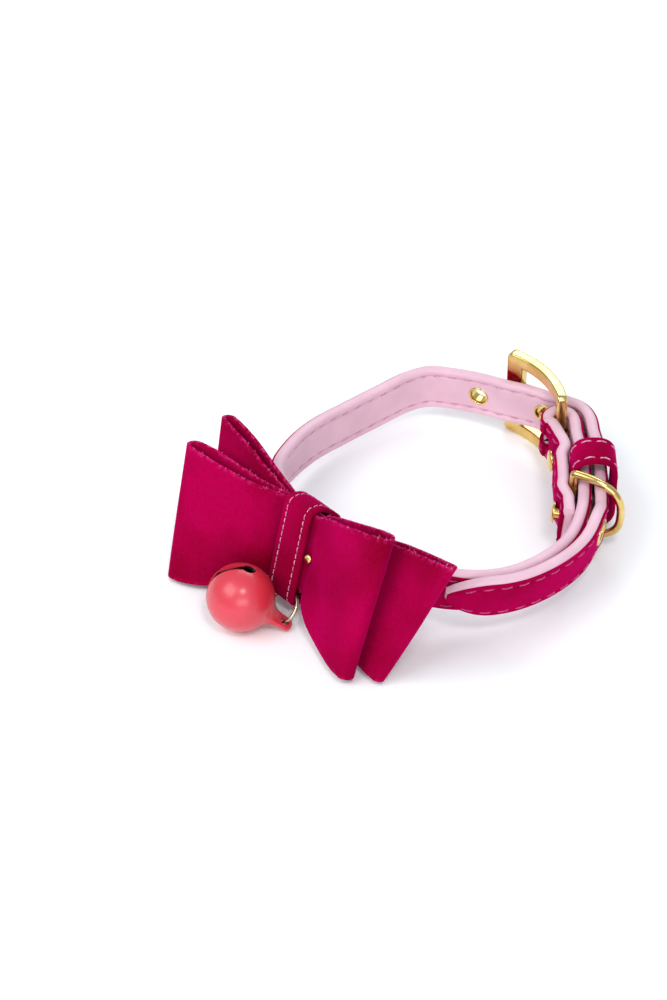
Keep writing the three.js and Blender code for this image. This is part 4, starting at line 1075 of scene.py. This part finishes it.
def turned_ring(profile, sides, origin, x_axis, y_axis, axis):
    """A closed profile of radius and height, turned about an axis."""
    angle = turns(sides)[:, None, None]
    radius, height = profile[None, :, :1], profile[None, :, 1:]
    return origin + radius * (np.cos(angle) * x_axis + np.sin(angle) * y_axis) + height * axis


def box_corners(left, right, bottom, top):
    """The four corners of a rectangle, from the lower left round to the upper left."""
    return [[left, bottom], [right, bottom], [right, top], [left, top]]


curl_box = box_corners(CURL_INSIDE, CURL_INSIDE + PRONG_WALL, -PRONG_WIDTH / 2, PRONG_WIDTH / 2)
curl_profile = rounded(curl_box, PRONG_CORNER, 4)
curl = closed_loop(turned_ring(curl_profile, 40, PIVOT, BUCKLE_ALONG, BUCKLE_OUT, UP))
dress("prong", join_runs([closed_run(prong_rings()), curl]), BRASS, "brass", "buckle_prong")

# %% [markdown]
# ## Eyelets and rivets
#
# Both are turned shapes: a profile of radius and height, carried round an axis that points out of
# the strap. An eyelet's profile closes on itself, with a rolled rim on each face. A rivet's profile
# starts and ends on the axis, where the small faces meet in one point.

# %% Eyelets
EYELET_BORE = 1.6
EYELET_TUBE = 2.0
EYELET_RIM = 2.8
EYELET_BACK_RIM = 2.25
EYELET_TOP = 1.46
EYELET_SEAT = 1.02
EYELET_THROAT = 0.9  # half the bore's straight part
EYELET_FLARE = 0.2
EYELET_BEVEL = 0.15

eyelet_profile = rounded([
    [EYELET_BORE, -EYELET_THROAT], [EYELET_BORE + EYELET_FLARE, -EYELET_TOP],
    [EYELET_BACK_RIM - EYELET_BEVEL, -EYELET_TOP], [EYELET_BACK_RIM, -EYELET_SEAT],
    [EYELET_TUBE, -EYELET_SEAT], [EYELET_TUBE, EYELET_SEAT],
    [EYELET_RIM, EYELET_SEAT], [EYELET_RIM - EYELET_BEVEL, EYELET_TOP],
    [EYELET_BORE + EYELET_FLARE, EYELET_TOP], [EYELET_BORE, EYELET_THROAT],
], EYELET_BEVEL, 4)
for number, at in enumerate(EYELETS_AT, 1):
    origin, along, out, up = strap_axes(at)
    ring = closed_loop(turned_ring(eyelet_profile, 56, origin, along, up, out))
    dress(f"eyelet_ring_{number}", ring, BRASS, "brass", f"eyelet_{number}")

# %% Rivets
RIVET_BACK = 2.2
RIVET_SHANK = 1.1
RIVET_RISE = 0.7
RIVET_SEAT = 1.0  # from the strap's middle to the cap's underside
RIVET_BACK_GAP = 0.15


def turned_solid(profile, sides, origin, x_axis, y_axis, axis):
    """A profile turned about its axis, closed by a fan of triangles round each pole."""
    rings = turned_ring(profile[1:-1], sides, origin, x_axis, y_axis, axis)
    rows, columns = rings.shape[:2]
    poles = origin + profile[[0, -1], 1][:, None] * axis
    here = np.arange(rows)
    there = (here + 1) % rows
    low, high = rows * columns, rows * columns + 1
    first = np.stack([np.full(rows, low), there * columns, here * columns], -1)
    last = np.stack([np.full(rows, high), here * columns + columns - 1, there * columns + columns - 1], -1)
    sides_faces = grid_faces(rows, columns, wrap_rows=True)
    return np.vstack([rings.reshape(-1, 3), poles]), [sides_faces, np.vstack([first, last])]


def dome(radius, base, rise):
    """Radius and height of a low dome from rim to pole: a quarter ellipse on a small upright rim."""
    phi = np.linspace(0, np.pi / 2, 9)
    height = base + rise * (0.2 + 0.8 * np.sin(phi))
    return np.vstack([[radius, base], np.stack([radius * np.cos(phi) ** 0.85, height], -1)])


def rivet_profile(cap, back, shank, face, back_face, rise):
    """From the pole of the back head over its rim, along the shank and over the cap to its pole."""
    back_head = dome(back, back_face, -rise)[::-1]
    cap_head = dome(cap, face, rise)
    profile = np.vstack([back_head, [[shank, back_face], [shank, face]], cap_head])
    profile[[0, -1], 0] = 0
    return profile


def tail_depth(station):
    """How deep the tail lies at a rivet, at the most, over the width of the rivet's back."""
    return np.max(eased_table(*TAIL_GAPS, station + np.array([-RIVET_BACK, 0, RIVET_BACK])))


for number, station in enumerate(RIVET_STATIONS, 1):
    origin, along, out, up = loop_axes(station)
    back_face = -tail_depth(station) - HALF_STRAP - RIVET_BACK_GAP
    profile = rivet_profile(RIVET_CAP, RIVET_BACK, RIVET_SHANK, RIVET_SEAT, back_face, RIVET_RISE)
    rivet = turned_solid(profile, 48, origin, along, up, out)
    dress(f"rivet_{number}", rivet, BRASS, "brass", f"strap_rivet_{number}")

# %% [markdown]
# ## D-ring
#
# The D-ring is one bent wire. Its bar lies behind the strap, inside the fold, and its bow stands out
# and leans towards the free tip. The bow is a superellipse, an ellipse whose sines and cosines are
# raised to a power below 1, so it is squarer, and the corners at the bar are softened by averaging.

# %% D-ring
RING_HEIGHT = 16.0
RING_DEPTH = 11.8
RING_SWING = math.radians(20)
RING_SQUARENESS = 2.8


def softened(line, passes):
    """A closed line whose points are averaged with their neighbours, as many times as there are passes."""
    for _ in range(passes):
        line = (np.roll(line, 1, axis=0) + 2 * line + np.roll(line, -1, axis=0)) / 4
    return line


def wire_rings(line, normal, radius, sides):
    """Round sections on a flat closed line: one axis is the plane's normal, the other square to both."""
    side = unit(np.cross(closed_tangents(line), normal))
    angle = turns(sides)
    ring = side[:, None] * np.cos(angle)[:, None] + normal * np.sin(angle)[:, None]
    return line[:, None] + radius * ring


def d_ring_line():
    """The wire's middle line, evenly spaced, and the normal of its plane."""
    origin, along, out, up = loop_axes(RING_STATION)
    away = out * math.cos(RING_SWING) + along * math.sin(RING_SWING)
    bar = origin - out * (HALF_STRAP + CLEARANCE + RING_WIRE / 2)
    angle = np.radians(np.linspace(90, -90, 121))
    across, rise = squarish(angle, 2 / RING_SQUARENESS)
    x, y = (RING_DEPTH - RING_WIRE) * across, (RING_HEIGHT - RING_WIRE) / 2 * rise
    line = evenly(bar + x[:, None] * away + y[:, None] * up, 200, closed=True)
    return softened(line, 12), np.cross(away, up)


dress("d_wire", closed_loop(wire_rings(*d_ring_line(), RING_WIRE / 2, 20)), BRASS, "brass", "d_ring")

# %% [markdown]
# ## Bands of cloth
#
# The keeper and the band round the bow's waist are the same kind of piece: a strip of velvet with
# its long edges folded under, sewn along both edges, and closed round what it holds. A strip's middle
# line is a polygon with rounded corners. Its section is a flat bar with round edges, a little
# hollow along the two seams.

# %% Bands of cloth
BAND_SEAM = 1.35  # from a band's edge to its seam
SEAM_DEPTH = 0.16
SEAM_WIDTH = 0.28
SEAM_SEAT = 0.1
SEAM_SLANT = 0.12
SEAM_SHIFT = 0.4  # the lower seam's stitches lie this far ahead of the upper one's


def grown(corners, distance):
    """A polygon whose sides are moved out: each corner moves along the bisector of its sides' normals."""
    corners = np.asarray(corners, float)
    normal_before = to_the_right(unit(corners - np.roll(corners, 1, axis=0)))
    normal_after = to_the_right(unit(np.roll(corners, -1, axis=0) - corners))
    bisector = unit(normal_before + normal_after)
    return corners + bisector * distance / np.sum(bisector * normal_before, axis=1, keepdims=True)


def band_line(corners, radius, wall, count):
    """The middle line of a band's wall and its outward normals, evenly spaced."""
    line = evenly(rounded(grown(corners, wall / 2), radius + wall / 2, 10), count, closed=True)
    line = softened(line, 4)
    return line, to_the_right(closed_tangents(line))


def band_section(width, wall):
    """x across the band and q out of its wall: seams are shallow furrows on the outer face."""
    x = np.linspace(-width / 2 + wall / 2, width / 2 - wall / 2, 33)
    from_seam = np.abs(np.abs(x) - (width / 2 - BAND_SEAM))
    face = wall / 2 - SEAM_DEPTH * np.exp(-((from_seam / SEAM_WIDTH) ** 2))
    phi = np.radians(np.linspace(75, -75, 8))
    edge_x, edge_q = width / 2 - wall / 2 + wall / 2 * np.cos(phi), wall / 2 * np.sin(phi)
    inner_x = np.linspace(width / 2 - wall / 2, -width / 2 + wall / 2, 9)
    xs = np.concatenate([x, edge_x, inner_x, -edge_x[::-1]])
    return xs, np.concatenate([face, edge_q, np.full(9, -wall / 2), edge_q[::-1]])


def band_rings(axes, line, normals, width, wall):
    """Every point: origin + along * x + out * n + up * w, where (n, w) is the line plus normal * q."""
    origin, along, out, up = axes
    x, q = band_section(width, wall)
    place = line[:, None] + normals[:, None] * q[:, None]
    return origin + x[:, None] * along + place[..., :1] * out + place[..., 1:] * up


def band_seams(name, axes, line, normals, width, wall, pitch, length, radius):
    """Two rows of stitches round a band, on its outer face."""
    origin, along, out, up = axes
    ring = np.vstack([line, line[:1]])
    walked = lengths_along(ring)
    outward = np.vstack([normals, normals[:1]])

    def row(side):
        def place(at):
            at = np.mod(at, walked[-1])
            n, w, normal_n, normal_w = (np.interp(at, walked, column)[..., None]
                                        for column in (*ring.T, *outward.T))
            way = unit(normal_n * out + normal_w * up)
            across = side * (width / 2 - BAND_SEAM)
            return origin + across * along + n * out + w * up + way * (wall / 2 - SEAM_SEAT), way
        return place

    centres = np.arange(0, walked[-1] - pitch / 2, pitch)
    rows = [stitch_tubes(centres + shift, row(side), length, radius, SEAM_SLANT)
            for side, shift in ((1, 0), (-1, SEAM_SHIFT))]
    return dress(name, join_runs(rows), PALE_THREAD, "lining")


# %% Keeper
KEEPER_HEIGHT = 17.4
KEEPER_WALL = 1.0
KEEPER_CORNER = 3.2
KEEPER_STITCHES = (2.9, 2.1, 0.13)  # pitch, length and radius, as are WAIST_STITCHES

keeper_bend = KEEPER_WIDTH**2 / (8 * NECK_RADIUS)
keeper_in = -HALF_STRAP - CLEARANCE - keeper_bend
keeper_out = FREE_OVER_RIVET + HALF_STRAP + CLEARANCE + keeper_bend
keeper_half = KEEPER_HEIGHT / 2 - KEEPER_WALL
keeper_corners = box_corners(keeper_in, keeper_out, -keeper_half, keeper_half)
keeper_line = band_line(keeper_corners, KEEPER_CORNER, KEEPER_WALL, 150)
keeper_band = (loop_axes(KEEPER_STATION), *keeper_line, KEEPER_WIDTH, KEEPER_WALL)
dress("keeper", closed_loop(band_rings(*keeper_band)), VELVET, "velvet", "keeper_loop")
band_seams("keeper_seams", *keeper_band, *KEEPER_STITCHES)

# %% [markdown]
# ## The bow
#
# Each of the two bows is a strip of velvet, closed into a ring and flattened, so that its ends become
# two loops. The pinch in the middle is held by the band, and from there each loop opens and turns
# forward. Cloth simulation could find such a shape, but this bow is stiff and every edge
# of it can be seen in the picture, so its four loops are drawn from a table of sections: how far the
# edges have flared, how wide the mouth is open and how far the loop has swept forward.
#
# The edges are cut and raw. A small wobble runs along them, and short fibres stand out of the cut.

# %% Bow axes
BOW_HEIGHT = 30.0
FRONT_BOW_LENGTH = 50.0
BACK_BOW_LENGTH = 60.0
BOW_CLOTH = 0.8
FRONT_PINCH = 16.4
BACK_PINCH = 13.4
BOW_SWEEP = 9.0
BOW_OPENING = 4.2
PLY_PITCH = BOW_CLOTH + CLEARANCE
BACK_BOW_BASE = HALF_STRAP + CLEARANCE + BOW_CLOTH / 2
FRONT_BOW_BASE = BACK_BOW_BASE + 2 * PLY_PITCH
PINCH_FACE = FRONT_BOW_BASE + PLY_PITCH + BOW_CLOTH / 2
BOW_ORIGIN, BOW_ALONG, BOW_OUT, BOW_UP = loop_axes(BOW_STATION)


def bow_point(x, n, w):
    """A point on the bow's axes: x to the right as seen from the front, n out of its face, w up."""
    x, n, w = (np.asarray(value, float)[..., None] for value in (x, n, w))
    return BOW_ORIGIN - x * BOW_ALONG + n * BOW_OUT + w * BOW_UP


# %% Bow loops
# Each row: place as a share of the loop's length, flare of the top and of the bottom edge, mouth, sweep.
BOW_ROWS = np.array([
    [0, 0, 0, 0, 0], [0.17, 0.01, 0.01, 0, 0], [0.26, 0.16, 0.24, 0.18, 0.2], [0.4, 0.37, 0.52, 0.4, 0.43],
    [0.55, 0.56, 0.73, 0.58, 0.62], [0.7, 0.73, 0.86, 0.72, 0.78], [0.85, 0.88, 0.95, 0.78, 0.9],
    [0.96, 0.98, 0.99, 0.6, 0.98],
])
# Each loop: side, reach at the top and bottom, sweep at the top and bottom, top, bottom and mouth.
BOW_LOOPS = {
    "front_right": (1, 0.97, 0.97, 0.35, 0.57, 1.03, 0.99, 0.7),
    "front_left": (-1, 1.0, 0.83, 0.88, 1.12, 0.72, 1.08, 0.8),
    "back_right": (1, 1.25, 0.97, 0.02, 0.36, 1.0, 0.94, 0.25),
    "back_left": (-1, 0.86, 0.76, 0.17, 0.12, 0.97, 0.86, 0.5),
}
ROW_STEPS = 9
FOLD_ARC = np.radians(np.linspace(0, 180, 15)[1:-1])
FOLD_REACH = 0.9  # how far a loop's end stands out, as a share of half its mouth
LEVELS = np.linspace(0, 1, 34)
TABLE_GAP = 0.03
FOLD_DENT = 0.32
WAVE_DENT = 0.22
WOBBLE = 0.09
EDGE_RISE = 0.16  # the cut's middle stands this far beyond its rims


def loop_face(loop, rows, half_length, base, pinch, face):
    """Middle of the cloth at each section and level. The edges go from the pinch to the loop's full
    height by the flares; x is the half length times place and reach; n is the base plus the sweep,
    plus or minus half the mouth."""
    side, reach_top, reach_bottom, sweep_top, sweep_bottom, top, bottom, mouth = loop
    to, flare_top, flare_bottom, open_share, sweep = (column[:, None] for column in rows.T)
    high = mix(pinch / 2, top * BOW_HEIGHT / 2, flare_top)
    low = mix(pinch / 2, bottom * BOW_HEIGHT / 2, flare_bottom)
    x = half_length * to * mix(reach_bottom, reach_top, LEVELS)
    n = base + PLY_PITCH / 2 + BOW_SWEEP * sweep * mix(sweep_bottom, sweep_top, LEVELS)
    half_mouth = PLY_PITCH / 2 + BOW_OPENING / 2 * mouth * open_share
    return np.stack([side * x, n + face * half_mouth, mix(-low, high, LEVELS)], -1)


def cloth_dents(x, v):
    """Soft dents that both faces share: folds that fan out of the pinch and die away, and a long wave."""
    from_pinch = np.abs(x)
    folds = FOLD_DENT * np.exp(-(((from_pinch - 8.5) / 4.5) ** 2))
    folds = folds * np.sin(2 * np.pi * (1.6 * v + 0.02 * x))
    wave = WAVE_DENT * ease((from_pinch - 6) / 8) * np.sin(2 * np.pi * (0.045 * x + 0.55 * v) + 0.8)
    return folds + wave


def loop_columns(loop, half_length, base, pinch, first_face):
    """One loop from the pinch along one face, round its end and back along the other."""
    rows = spline(BOW_ROWS, ROW_STEPS, closed=False)
    rows[:, 1:] = np.clip(rows[:, 1:], 0, None)
    out_face = loop_face(loop, rows, half_length, base, pinch, first_face)
    back_face = loop_face(loop, rows, half_length, base, pinch, -first_face)
    front, back = out_face[-1], back_face[-1]
    radius, centre = (front[:, 1] - back[:, 1]) / 2, (front[:, 1] + back[:, 1]) / 2
    arc = FOLD_ARC[:, None]
    x = front[:, 0] + loop[0] * np.abs(radius) * FOLD_REACH * np.sin(arc)
    w = np.broadcast_to(front[:, 2], (len(arc), len(LEVELS)))
    fold = np.stack([x, centre + radius * np.cos(arc), w], -1)
    return np.concatenate([out_face, fold, back_face[::-1]])


def on_table(points):
    """The points, with those that would be below the table lifted to just above it."""
    lifted = points.copy()
    lifted[..., 2] = np.maximum(points[..., 2], TABLE_GAP - SHIFT[2])
    return lifted


def edge_wobble(count, seed, size):
    """A closed wavy line: a sum of sines with seeded phases, whose strength falls as they get finer."""
    dice = np.random.default_rng(seed)
    t = turns(count)
    waves = [np.sin(k * t + dice.uniform(0, 6.28)) * dice.uniform(0.4, 1) / k**0.35
             for k in range(9, 80, 5)]
    return size * np.sum(waves, axis=0) / math.sqrt(len(waves))


def bow_rings(right, left, length, base, pinch, seed):
    """Sections of the closed strip: both sides of the cloth, half its thickness from the middle along
    the normal in the plane of x and n, joined over the two cut edges."""
    columns = np.concatenate([loop_columns(BOW_LOOPS[right], length / 2, base, pinch, 1),
                              loop_columns(BOW_LOOPS[left], length / 2, base, pinch, -1)[1:-1]])
    columns[..., 1] += cloth_dents(columns[..., 0], LEVELS) * ease((np.abs(columns[..., 0]) - 3) / 3)
    for level, sign in ((0, -1), (-1, 1)):
        columns[:, level, 2] += sign * edge_wobble(len(columns), seed + sign, WOBBLE)
    shift = np.zeros(columns.shape)
    shift[..., :2] = to_the_right(closed_tangents(columns[..., :2])) * BOW_CLOTH / 2
    edge_up = np.array([0, 0, EDGE_RISE])
    ring = np.concatenate([columns + shift, columns[:, -1:] + edge_up,
                           (columns - shift)[:, ::-1], columns[:, :1] - edge_up], axis=1)
    return on_table(bow_point(ring[..., 0], ring[..., 1], ring[..., 2])), columns


def write_mark(obj, name, values):
    """Writes one number for each of a piece's points, which its material reads by name."""
    mark = obj.data.attributes.new(name, "FLOAT", "POINT")
    mark.data.foreach_set("value", np.asarray(values, np.float32))


def mark_cut_edges(obj, columns_count):
    """Writes cut_edge on the cloth's points: 1 on the cut, 0.4 at its rims, 0 on the faces."""
    levels = len(LEVELS)
    share = np.zeros(2 * levels + 2)
    share[[levels, 2 * levels + 1]] = 1.0
    share[[0, levels - 1, levels + 1, 2 * levels]] = 0.4
    write_mark(obj, "cut_edge", np.tile(share, columns_count))


bow_columns = {}
for side, length, base, pinch, seed in (("back", BACK_BOW_LENGTH, BACK_BOW_BASE, BACK_PINCH, 20),
                                        ("front", FRONT_BOW_LENGTH, FRONT_BOW_BASE, FRONT_PINCH, 40)):
    rings, columns = bow_rings(f"{side}_right", f"{side}_left", length, base, pinch, seed)
    bow = dress(f"{side}_bow", closed_loop(rings), VELVET, "velvet", f"bow_{side}")
    mark_cut_edges(bow, len(columns))
    bow_columns[side] = columns

# %% [markdown]
# ## Frayed fibres
#
# Where velvet is cut, its woven ground shows as a paler line, and short threads stick out of it. A few
# hundred tiny bent tubes are enough to break the clean edge of the mesh. Their roots lie on the cut
# edges, and their bends come from a seeded random generator, so that they are the same every time.

# %% Frayed fibres
FIBRES_PER_EDGE = 330
FIBRE_SHORTEST = 0.12
FIBRE_SPREAD = 0.42
FIBRE_RADIUS = 0.055
FIBRE_TAPER = np.array([1, 0.9, 0.7, 0.4])
FIBRE_SIDES = 3
FIBRE_BEND = 0.5
FRAY_THREAD = thread_finish("fray_thread", (0.52, 0.015, 0.16, 1), (0.92, 0.33, 0.55, 1))


def fibre_tubes(roots, ways, lengths, radius, dice):
    """Three-sided tubes of four rings, each bent a little further off its way at every step."""
    steps = np.linspace(0, 1, len(FIBRE_TAPER))
    bend = dice.normal(size=roots.shape) * FIBRE_BEND
    line = roots[:, None] + lengths[:, None, None] * (
        ways[:, None] * steps[None, :, None] + bend[:, None] * (steps**2)[None, :, None])
    side = unit(np.cross(ways, dice.normal(size=roots.shape)))
    other = np.cross(ways, side)
    angle = turns(FIBRE_SIDES)
    ring = side[:, None] * np.cos(angle)[:, None] + other[:, None] * np.sin(angle)[:, None]
    return many_runs(line[:, :, None] + ring[:, None] * (radius * FIBRE_TAPER)[:, None, None])


def fray(columns, seed):
    """Fibres at random places of the upper and lower cut of a strip, most of them short."""
    dice = np.random.default_rng(seed)
    runs = []
    for level, sign in ((0, -1), (-1, 1)):
        at = dice.uniform(0, len(columns) - 1, FIBRES_PER_EDGE)
        low = at.astype(int)
        edge = mix(columns[low, level], columns[low + 1, level], (at - low)[:, None])
        edge = edge + dice.uniform(-0.3, 0.3, edge.shape) * [1, 1, 0.2]
        roots = bow_point(edge[:, 0], edge[:, 1], edge[:, 2])
        ways = unit(sign * BOW_UP + dice.normal(size=roots.shape) * 0.55)
        lengths = FIBRE_SHORTEST + FIBRE_SPREAD * dice.random(len(roots)) ** 3
        points, faces = fibre_tubes(roots, ways, lengths, FIBRE_RADIUS, dice)
        runs.append((on_table(points), faces))
    return join_runs(runs)


for side, seed in (("back", 7), ("front", 8)):
    dress(f"{side}_bow_fray", fray(bow_columns[side], seed), FRAY_THREAD, "velvet")

# %% [markdown]
# ## The band round the waist, and the rivet beside it
#
# The band goes over the pinched bows in front and round the strap behind. Below the pinch it has some
# slack, where the ring for the bell passes. The small rivet beside it holds the bows to the strap.

# %% Waist band
BAND_WIDTH = 7.4
BAND_CLOTH = 1.0
BAND_ROUND = 1.0
BAND_SLACK = 2.9
WAIST_STITCHES = (1.45, 1.15, 0.085)

room = CLEARANCE * 1.7
waist = BACK_BOW_BASE - BOW_CLOTH / 2 - room
band_front, band_back = PINCH_FACE + room, -HALF_STRAP - CLEARANCE
band_step = FRONT_BOW_BASE - BOW_CLOTH / 2 - room
band_top, band_bottom = FRONT_PINCH / 2 + room, FRONT_PINCH / 2 + BAND_SLACK
strap_edge = STRAP_WIDTH / 2 + room
waist_corners = [[band_back, -strap_edge], [waist, -band_bottom], [band_front, -band_bottom],
                 [band_front, band_top], [band_step, band_top], [waist, BACK_PINCH / 2 + room],
                 [band_back, strap_edge]]
waist_line = band_line(waist_corners, BAND_ROUND, BAND_CLOTH, 170)
waist_band = ((BOW_ORIGIN, BOW_ALONG, BOW_OUT, BOW_UP), *waist_line, BAND_WIDTH, BAND_CLOTH)
dress("waist_band", closed_loop(band_rings(*waist_band)), VELVET, "velvet", "bow_band")
band_seams("waist_seams", *waist_band, *WAIST_STITCHES)

# %% Bow rivet
BOW_RIVET_RADIUS = 0.9
BOW_RIVET_SHANK = 0.5
BOW_RIVET_ACROSS = BAND_WIDTH / 2 + BOW_RIVET_RADIUS + 2 * CLEARANCE

middle_level = bow_columns["front"][:, len(LEVELS) // 2]
near = (np.abs(middle_level[:, 0] - BOW_RIVET_ACROSS) < 1.0) & (middle_level[:, 1] > FRONT_BOW_BASE)
rivet_face = middle_level[near, 1].max() + BOW_CLOTH / 2
profile = rivet_profile(BOW_RIVET_RADIUS, BOW_RIVET_RADIUS, BOW_RIVET_SHANK, rivet_face,
                        -HALF_STRAP - CLEARANCE / 2, RIVET_RISE)
rivet_place = bow_point(BOW_RIVET_ACROSS, 0.0, 0.0)
small_rivet = turned_solid(profile, 32, rivet_place, BOW_ALONG, BOW_UP, BOW_OUT)
dress("small_rivet", small_rivet, BRASS, "brass", "bow_rivet")

# %% [markdown]
# ## Bell and jump ring
#
# The bell is a pressed shell with a sound slot that ends in two round holes, and a flat lug. The
# shell is a ball with a smaller ball cut out of it, and then the slot. The lug is a run of sections that
# starts round on the shell and flattens. A jump ring joins the lug to the waist band.

# %% Where the bell hangs
BELL_RADIUS = 6.65
BELL_WALL = 0.7
LUG_REACH = 11.5
LUG_WIDTH = 3.4
LUG_BORE = 1.0
JUMP_RADIUS = 3.35
JUMP_WIRE = 0.7
JUMP_TILT = math.radians(53)
JUMP_BEARING = -45.5  # degrees from +X, from the band to the lug
LUG_BEARING, LUG_DIP = 30, 31  # degrees, and the dip is below level


def on_bearing(degrees, dip=0.0):
    """A unit vector on a bearing from +X towards +Y, and below level by the dip."""
    a, d = math.radians(degrees), math.radians(dip)
    return np.array([math.cos(a) * math.cos(d), math.sin(a) * math.cos(d), -math.sin(d)])


LUG_WAY = on_bearing(LUG_BEARING, LUG_DIP)
lug_hole_reach = LUG_REACH - LUG_WIDTH / 2
ring_top = bow_point(0.0, PINCH_FACE + CLEARANCE, -FRONT_PINCH / 2 - BAND_SLACK + JUMP_WIRE / 2)
ring_drop = ring_top[2] - (BELL_RADIUS + LUG_WAY[2] * lug_hole_reach)
ring_run = math.sqrt((2 * JUMP_RADIUS) ** 2 - ring_drop**2)
lug_hole = ring_top + on_bearing(JUMP_BEARING) * ring_run - UP * ring_drop
ring_away = unit(ring_top - lug_hole)
level_across = unit(UP - ring_away * ring_away[2])
ring_across = level_across * math.cos(JUMP_TILT) + np.cross(ring_away, level_across) * math.sin(JUMP_TILT)
BELL_CENTRE = lug_hole - LUG_WAY * lug_hole_reach
lug_flat = unit(np.cross(ring_across, LUG_WAY))
lug_through = np.cross(LUG_WAY, lug_flat)
packed_ball = packed_middle("bell_ball")
print("bell centre", (BELL_CENTRE + SHIFT).round(2), "mm; packed ball", packed_ball.round(2))

# %% Bell shell
SLOT_WIDTH = 1.5
SLOT_END = math.radians(73)
SLOT_HOLE = 1.3
SLOT_LEAN = math.radians(-14)
CUT_REACH = 9.5  # from the bell's centre, beyond its shell
PEG_START = 3.0


def ball_profile(radius, steps):
    """Radius and height of a ball from pole to pole."""
    angle = np.linspace(0, np.pi, steps)
    profile = np.stack([radius * np.sin(angle), radius * np.cos(angle)], -1)
    profile[[0, -1], 0] = 0
    return profile


def slot_cutters():
    """A thin block across the crown and a round peg at each end of it, turned about the bell's axis."""
    turn = math.atan2(lug_through[2], lug_flat[2]) + SLOT_LEAN
    across = lug_flat * math.cos(turn) + lug_through * math.sin(turn)
    sideways = np.cross(LUG_WAY, across)
    half = BELL_RADIUS * math.sin(SLOT_END)
    low = BELL_RADIUS * math.cos(SLOT_END)
    block = np.array([[half, -low], [half, -CUT_REACH], [-half, -CUT_REACH], [-half, -low]])
    cutters = [prism("cutter", block, BELL_CENTRE, across, LUG_WAY, sideways,
                     -SLOT_WIDTH / 2, SLOT_WIDTH / 2)]
    for sign in (1, -1):
        way = across * sign * math.sin(SLOT_END) - LUG_WAY * math.cos(SLOT_END)
        beside = unit(np.cross(sideways, way))
        cutters.append(prism("cutter", circle(SLOT_HOLE, 28), BELL_CENTRE, sideways, beside, way,
                             PEG_START, CUT_REACH))
    return cutters


def mark_painted_shade_inside(obj):
    """Writes inside on the shell's points: 1 on the inner skin, which the material paints near black as
    painted shade, and 0 on the outer one.
    """
    points = np.empty(len(obj.data.vertices) * 3)
    obj.data.vertices.foreach_get("co", points)
    reach = np.linalg.norm(points.reshape(-1, 3) / MM - SHIFT - BELL_CENTRE, axis=1)
    write_mark(obj, "inside", reach < BELL_RADIUS - BELL_WALL / 2)


def ball(name, radius, steps, sides):
    """A ball about the bell's centre, whose poles lie on the bell's axis."""
    return make_object(name, *turned_solid(ball_profile(radius, steps), sides, BELL_CENTRE, lug_flat,
                                           lug_through, LUG_WAY))


shell = ball("shell", BELL_RADIUS, 49, 72)
carve([ball("cutter", BELL_RADIUS - BELL_WALL, 33, 48), *slot_cutters()], shell)
# The inner skin gets painted shade: its material turns near black where inside is 1.
mark_painted_shade_inside(shell)
finish_piece(shell, CORAL, "coral", "bell")

# %% Bell lug
# Each row: height on the bell's axis, half width, half thickness.
LUG_ROWS = np.array([
    [5.35, 3.9, 3.9], [5.75, 3.35, 3.3], [6.3, 2.72, 2.5], [7.0, 2.2, 1.62], [7.8, 1.9, 0.95],
    [8.6, 1.75, 0.66], [9.6, 1.7, 0.56], [10.4, 1.6, 0.55], [11.05, 1.25, 0.54], [11.38, 0.7, 0.45],
    [11.5, 0.25, 0.2],
])
BORE_REACH = 2.0  # how far the bore's prism goes on each side of the lug's middle


def lug_rings():
    """Superellipse sections along the bell's axis, round at the shell and squarer at the flat lug."""
    rows = spline(LUG_ROWS, 6, closed=False)
    power = mix(1.0, 0.62, ease((rows[:, :1] - 6.5) / 2))
    across, through = squarish(turns(32), power)
    x, y = rows[:, 1:2] * across, rows[:, 2:3] * through
    return (BELL_CENTRE + x[..., None] * lug_flat + y[..., None] * lug_through
            + rows[:, 0, None, None] * LUG_WAY)


lug = make_object("lug", *closed_run(lug_rings()))
bore = prism("cutter", circle(LUG_BORE, 28), lug_hole, lug_flat, LUG_WAY, lug_through,
             -BORE_REACH, BORE_REACH)
carve([bore], lug)
finish_piece(lug, CORAL, "coral", "bell")
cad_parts["bell_ball"].data.materials.clear()
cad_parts["bell_ball"].data.materials.append(STEEL)

# %% Jump ring
ring_angle = turns(96)[:, None]
ring_middle = (ring_top + lug_hole) / 2
ring_line = ring_middle + JUMP_RADIUS * (ring_away * np.cos(ring_angle) + ring_across * np.sin(ring_angle))
ring_normal = np.cross(ring_away, ring_across)
jump_ring = closed_loop(wire_rings(ring_line, ring_normal, JUMP_WIRE / 2, 14))
dress("bell_ring", jump_ring, PALE_BRASS, "brass", "jump_ring")

# %% [markdown]
# ## Table
#
# The table is one large white sheet, matt and almost as bright as the picture's own white ground.
# It isn't part of the collar.

# %% Table
TABLE_SIDE = 8000.0


def table_finish():
    """White paper, with a trace of cool tone."""
    finish, nodes, links, shader = blank_material("white_table", Roughness=0.9, Specular_IOR_Level=0.1)
    tone = mottled(nodes, links, 3, 2, (0.3, (0.96, 0.965, 0.97, 1)), (0.7, (0.97, 0.975, 0.98, 1)))
    links.new(tone, shader.inputs["Base Color"])
    return finish


half_side = TABLE_SIDE / 2 * MM
table_mesh = bpy.data.meshes.new("table")
table_corners = [(-half_side, -half_side, 0), (half_side, -half_side, 0), (half_side, half_side, 0),
                 (-half_side, half_side, 0)]
table_mesh.from_pydata(table_corners, [], [(0, 1, 2, 3)])
table_top = bpy.data.objects.new("table", table_mesh)
scene.collection.objects.link(table_top)
table_mesh.materials.append(table_finish())
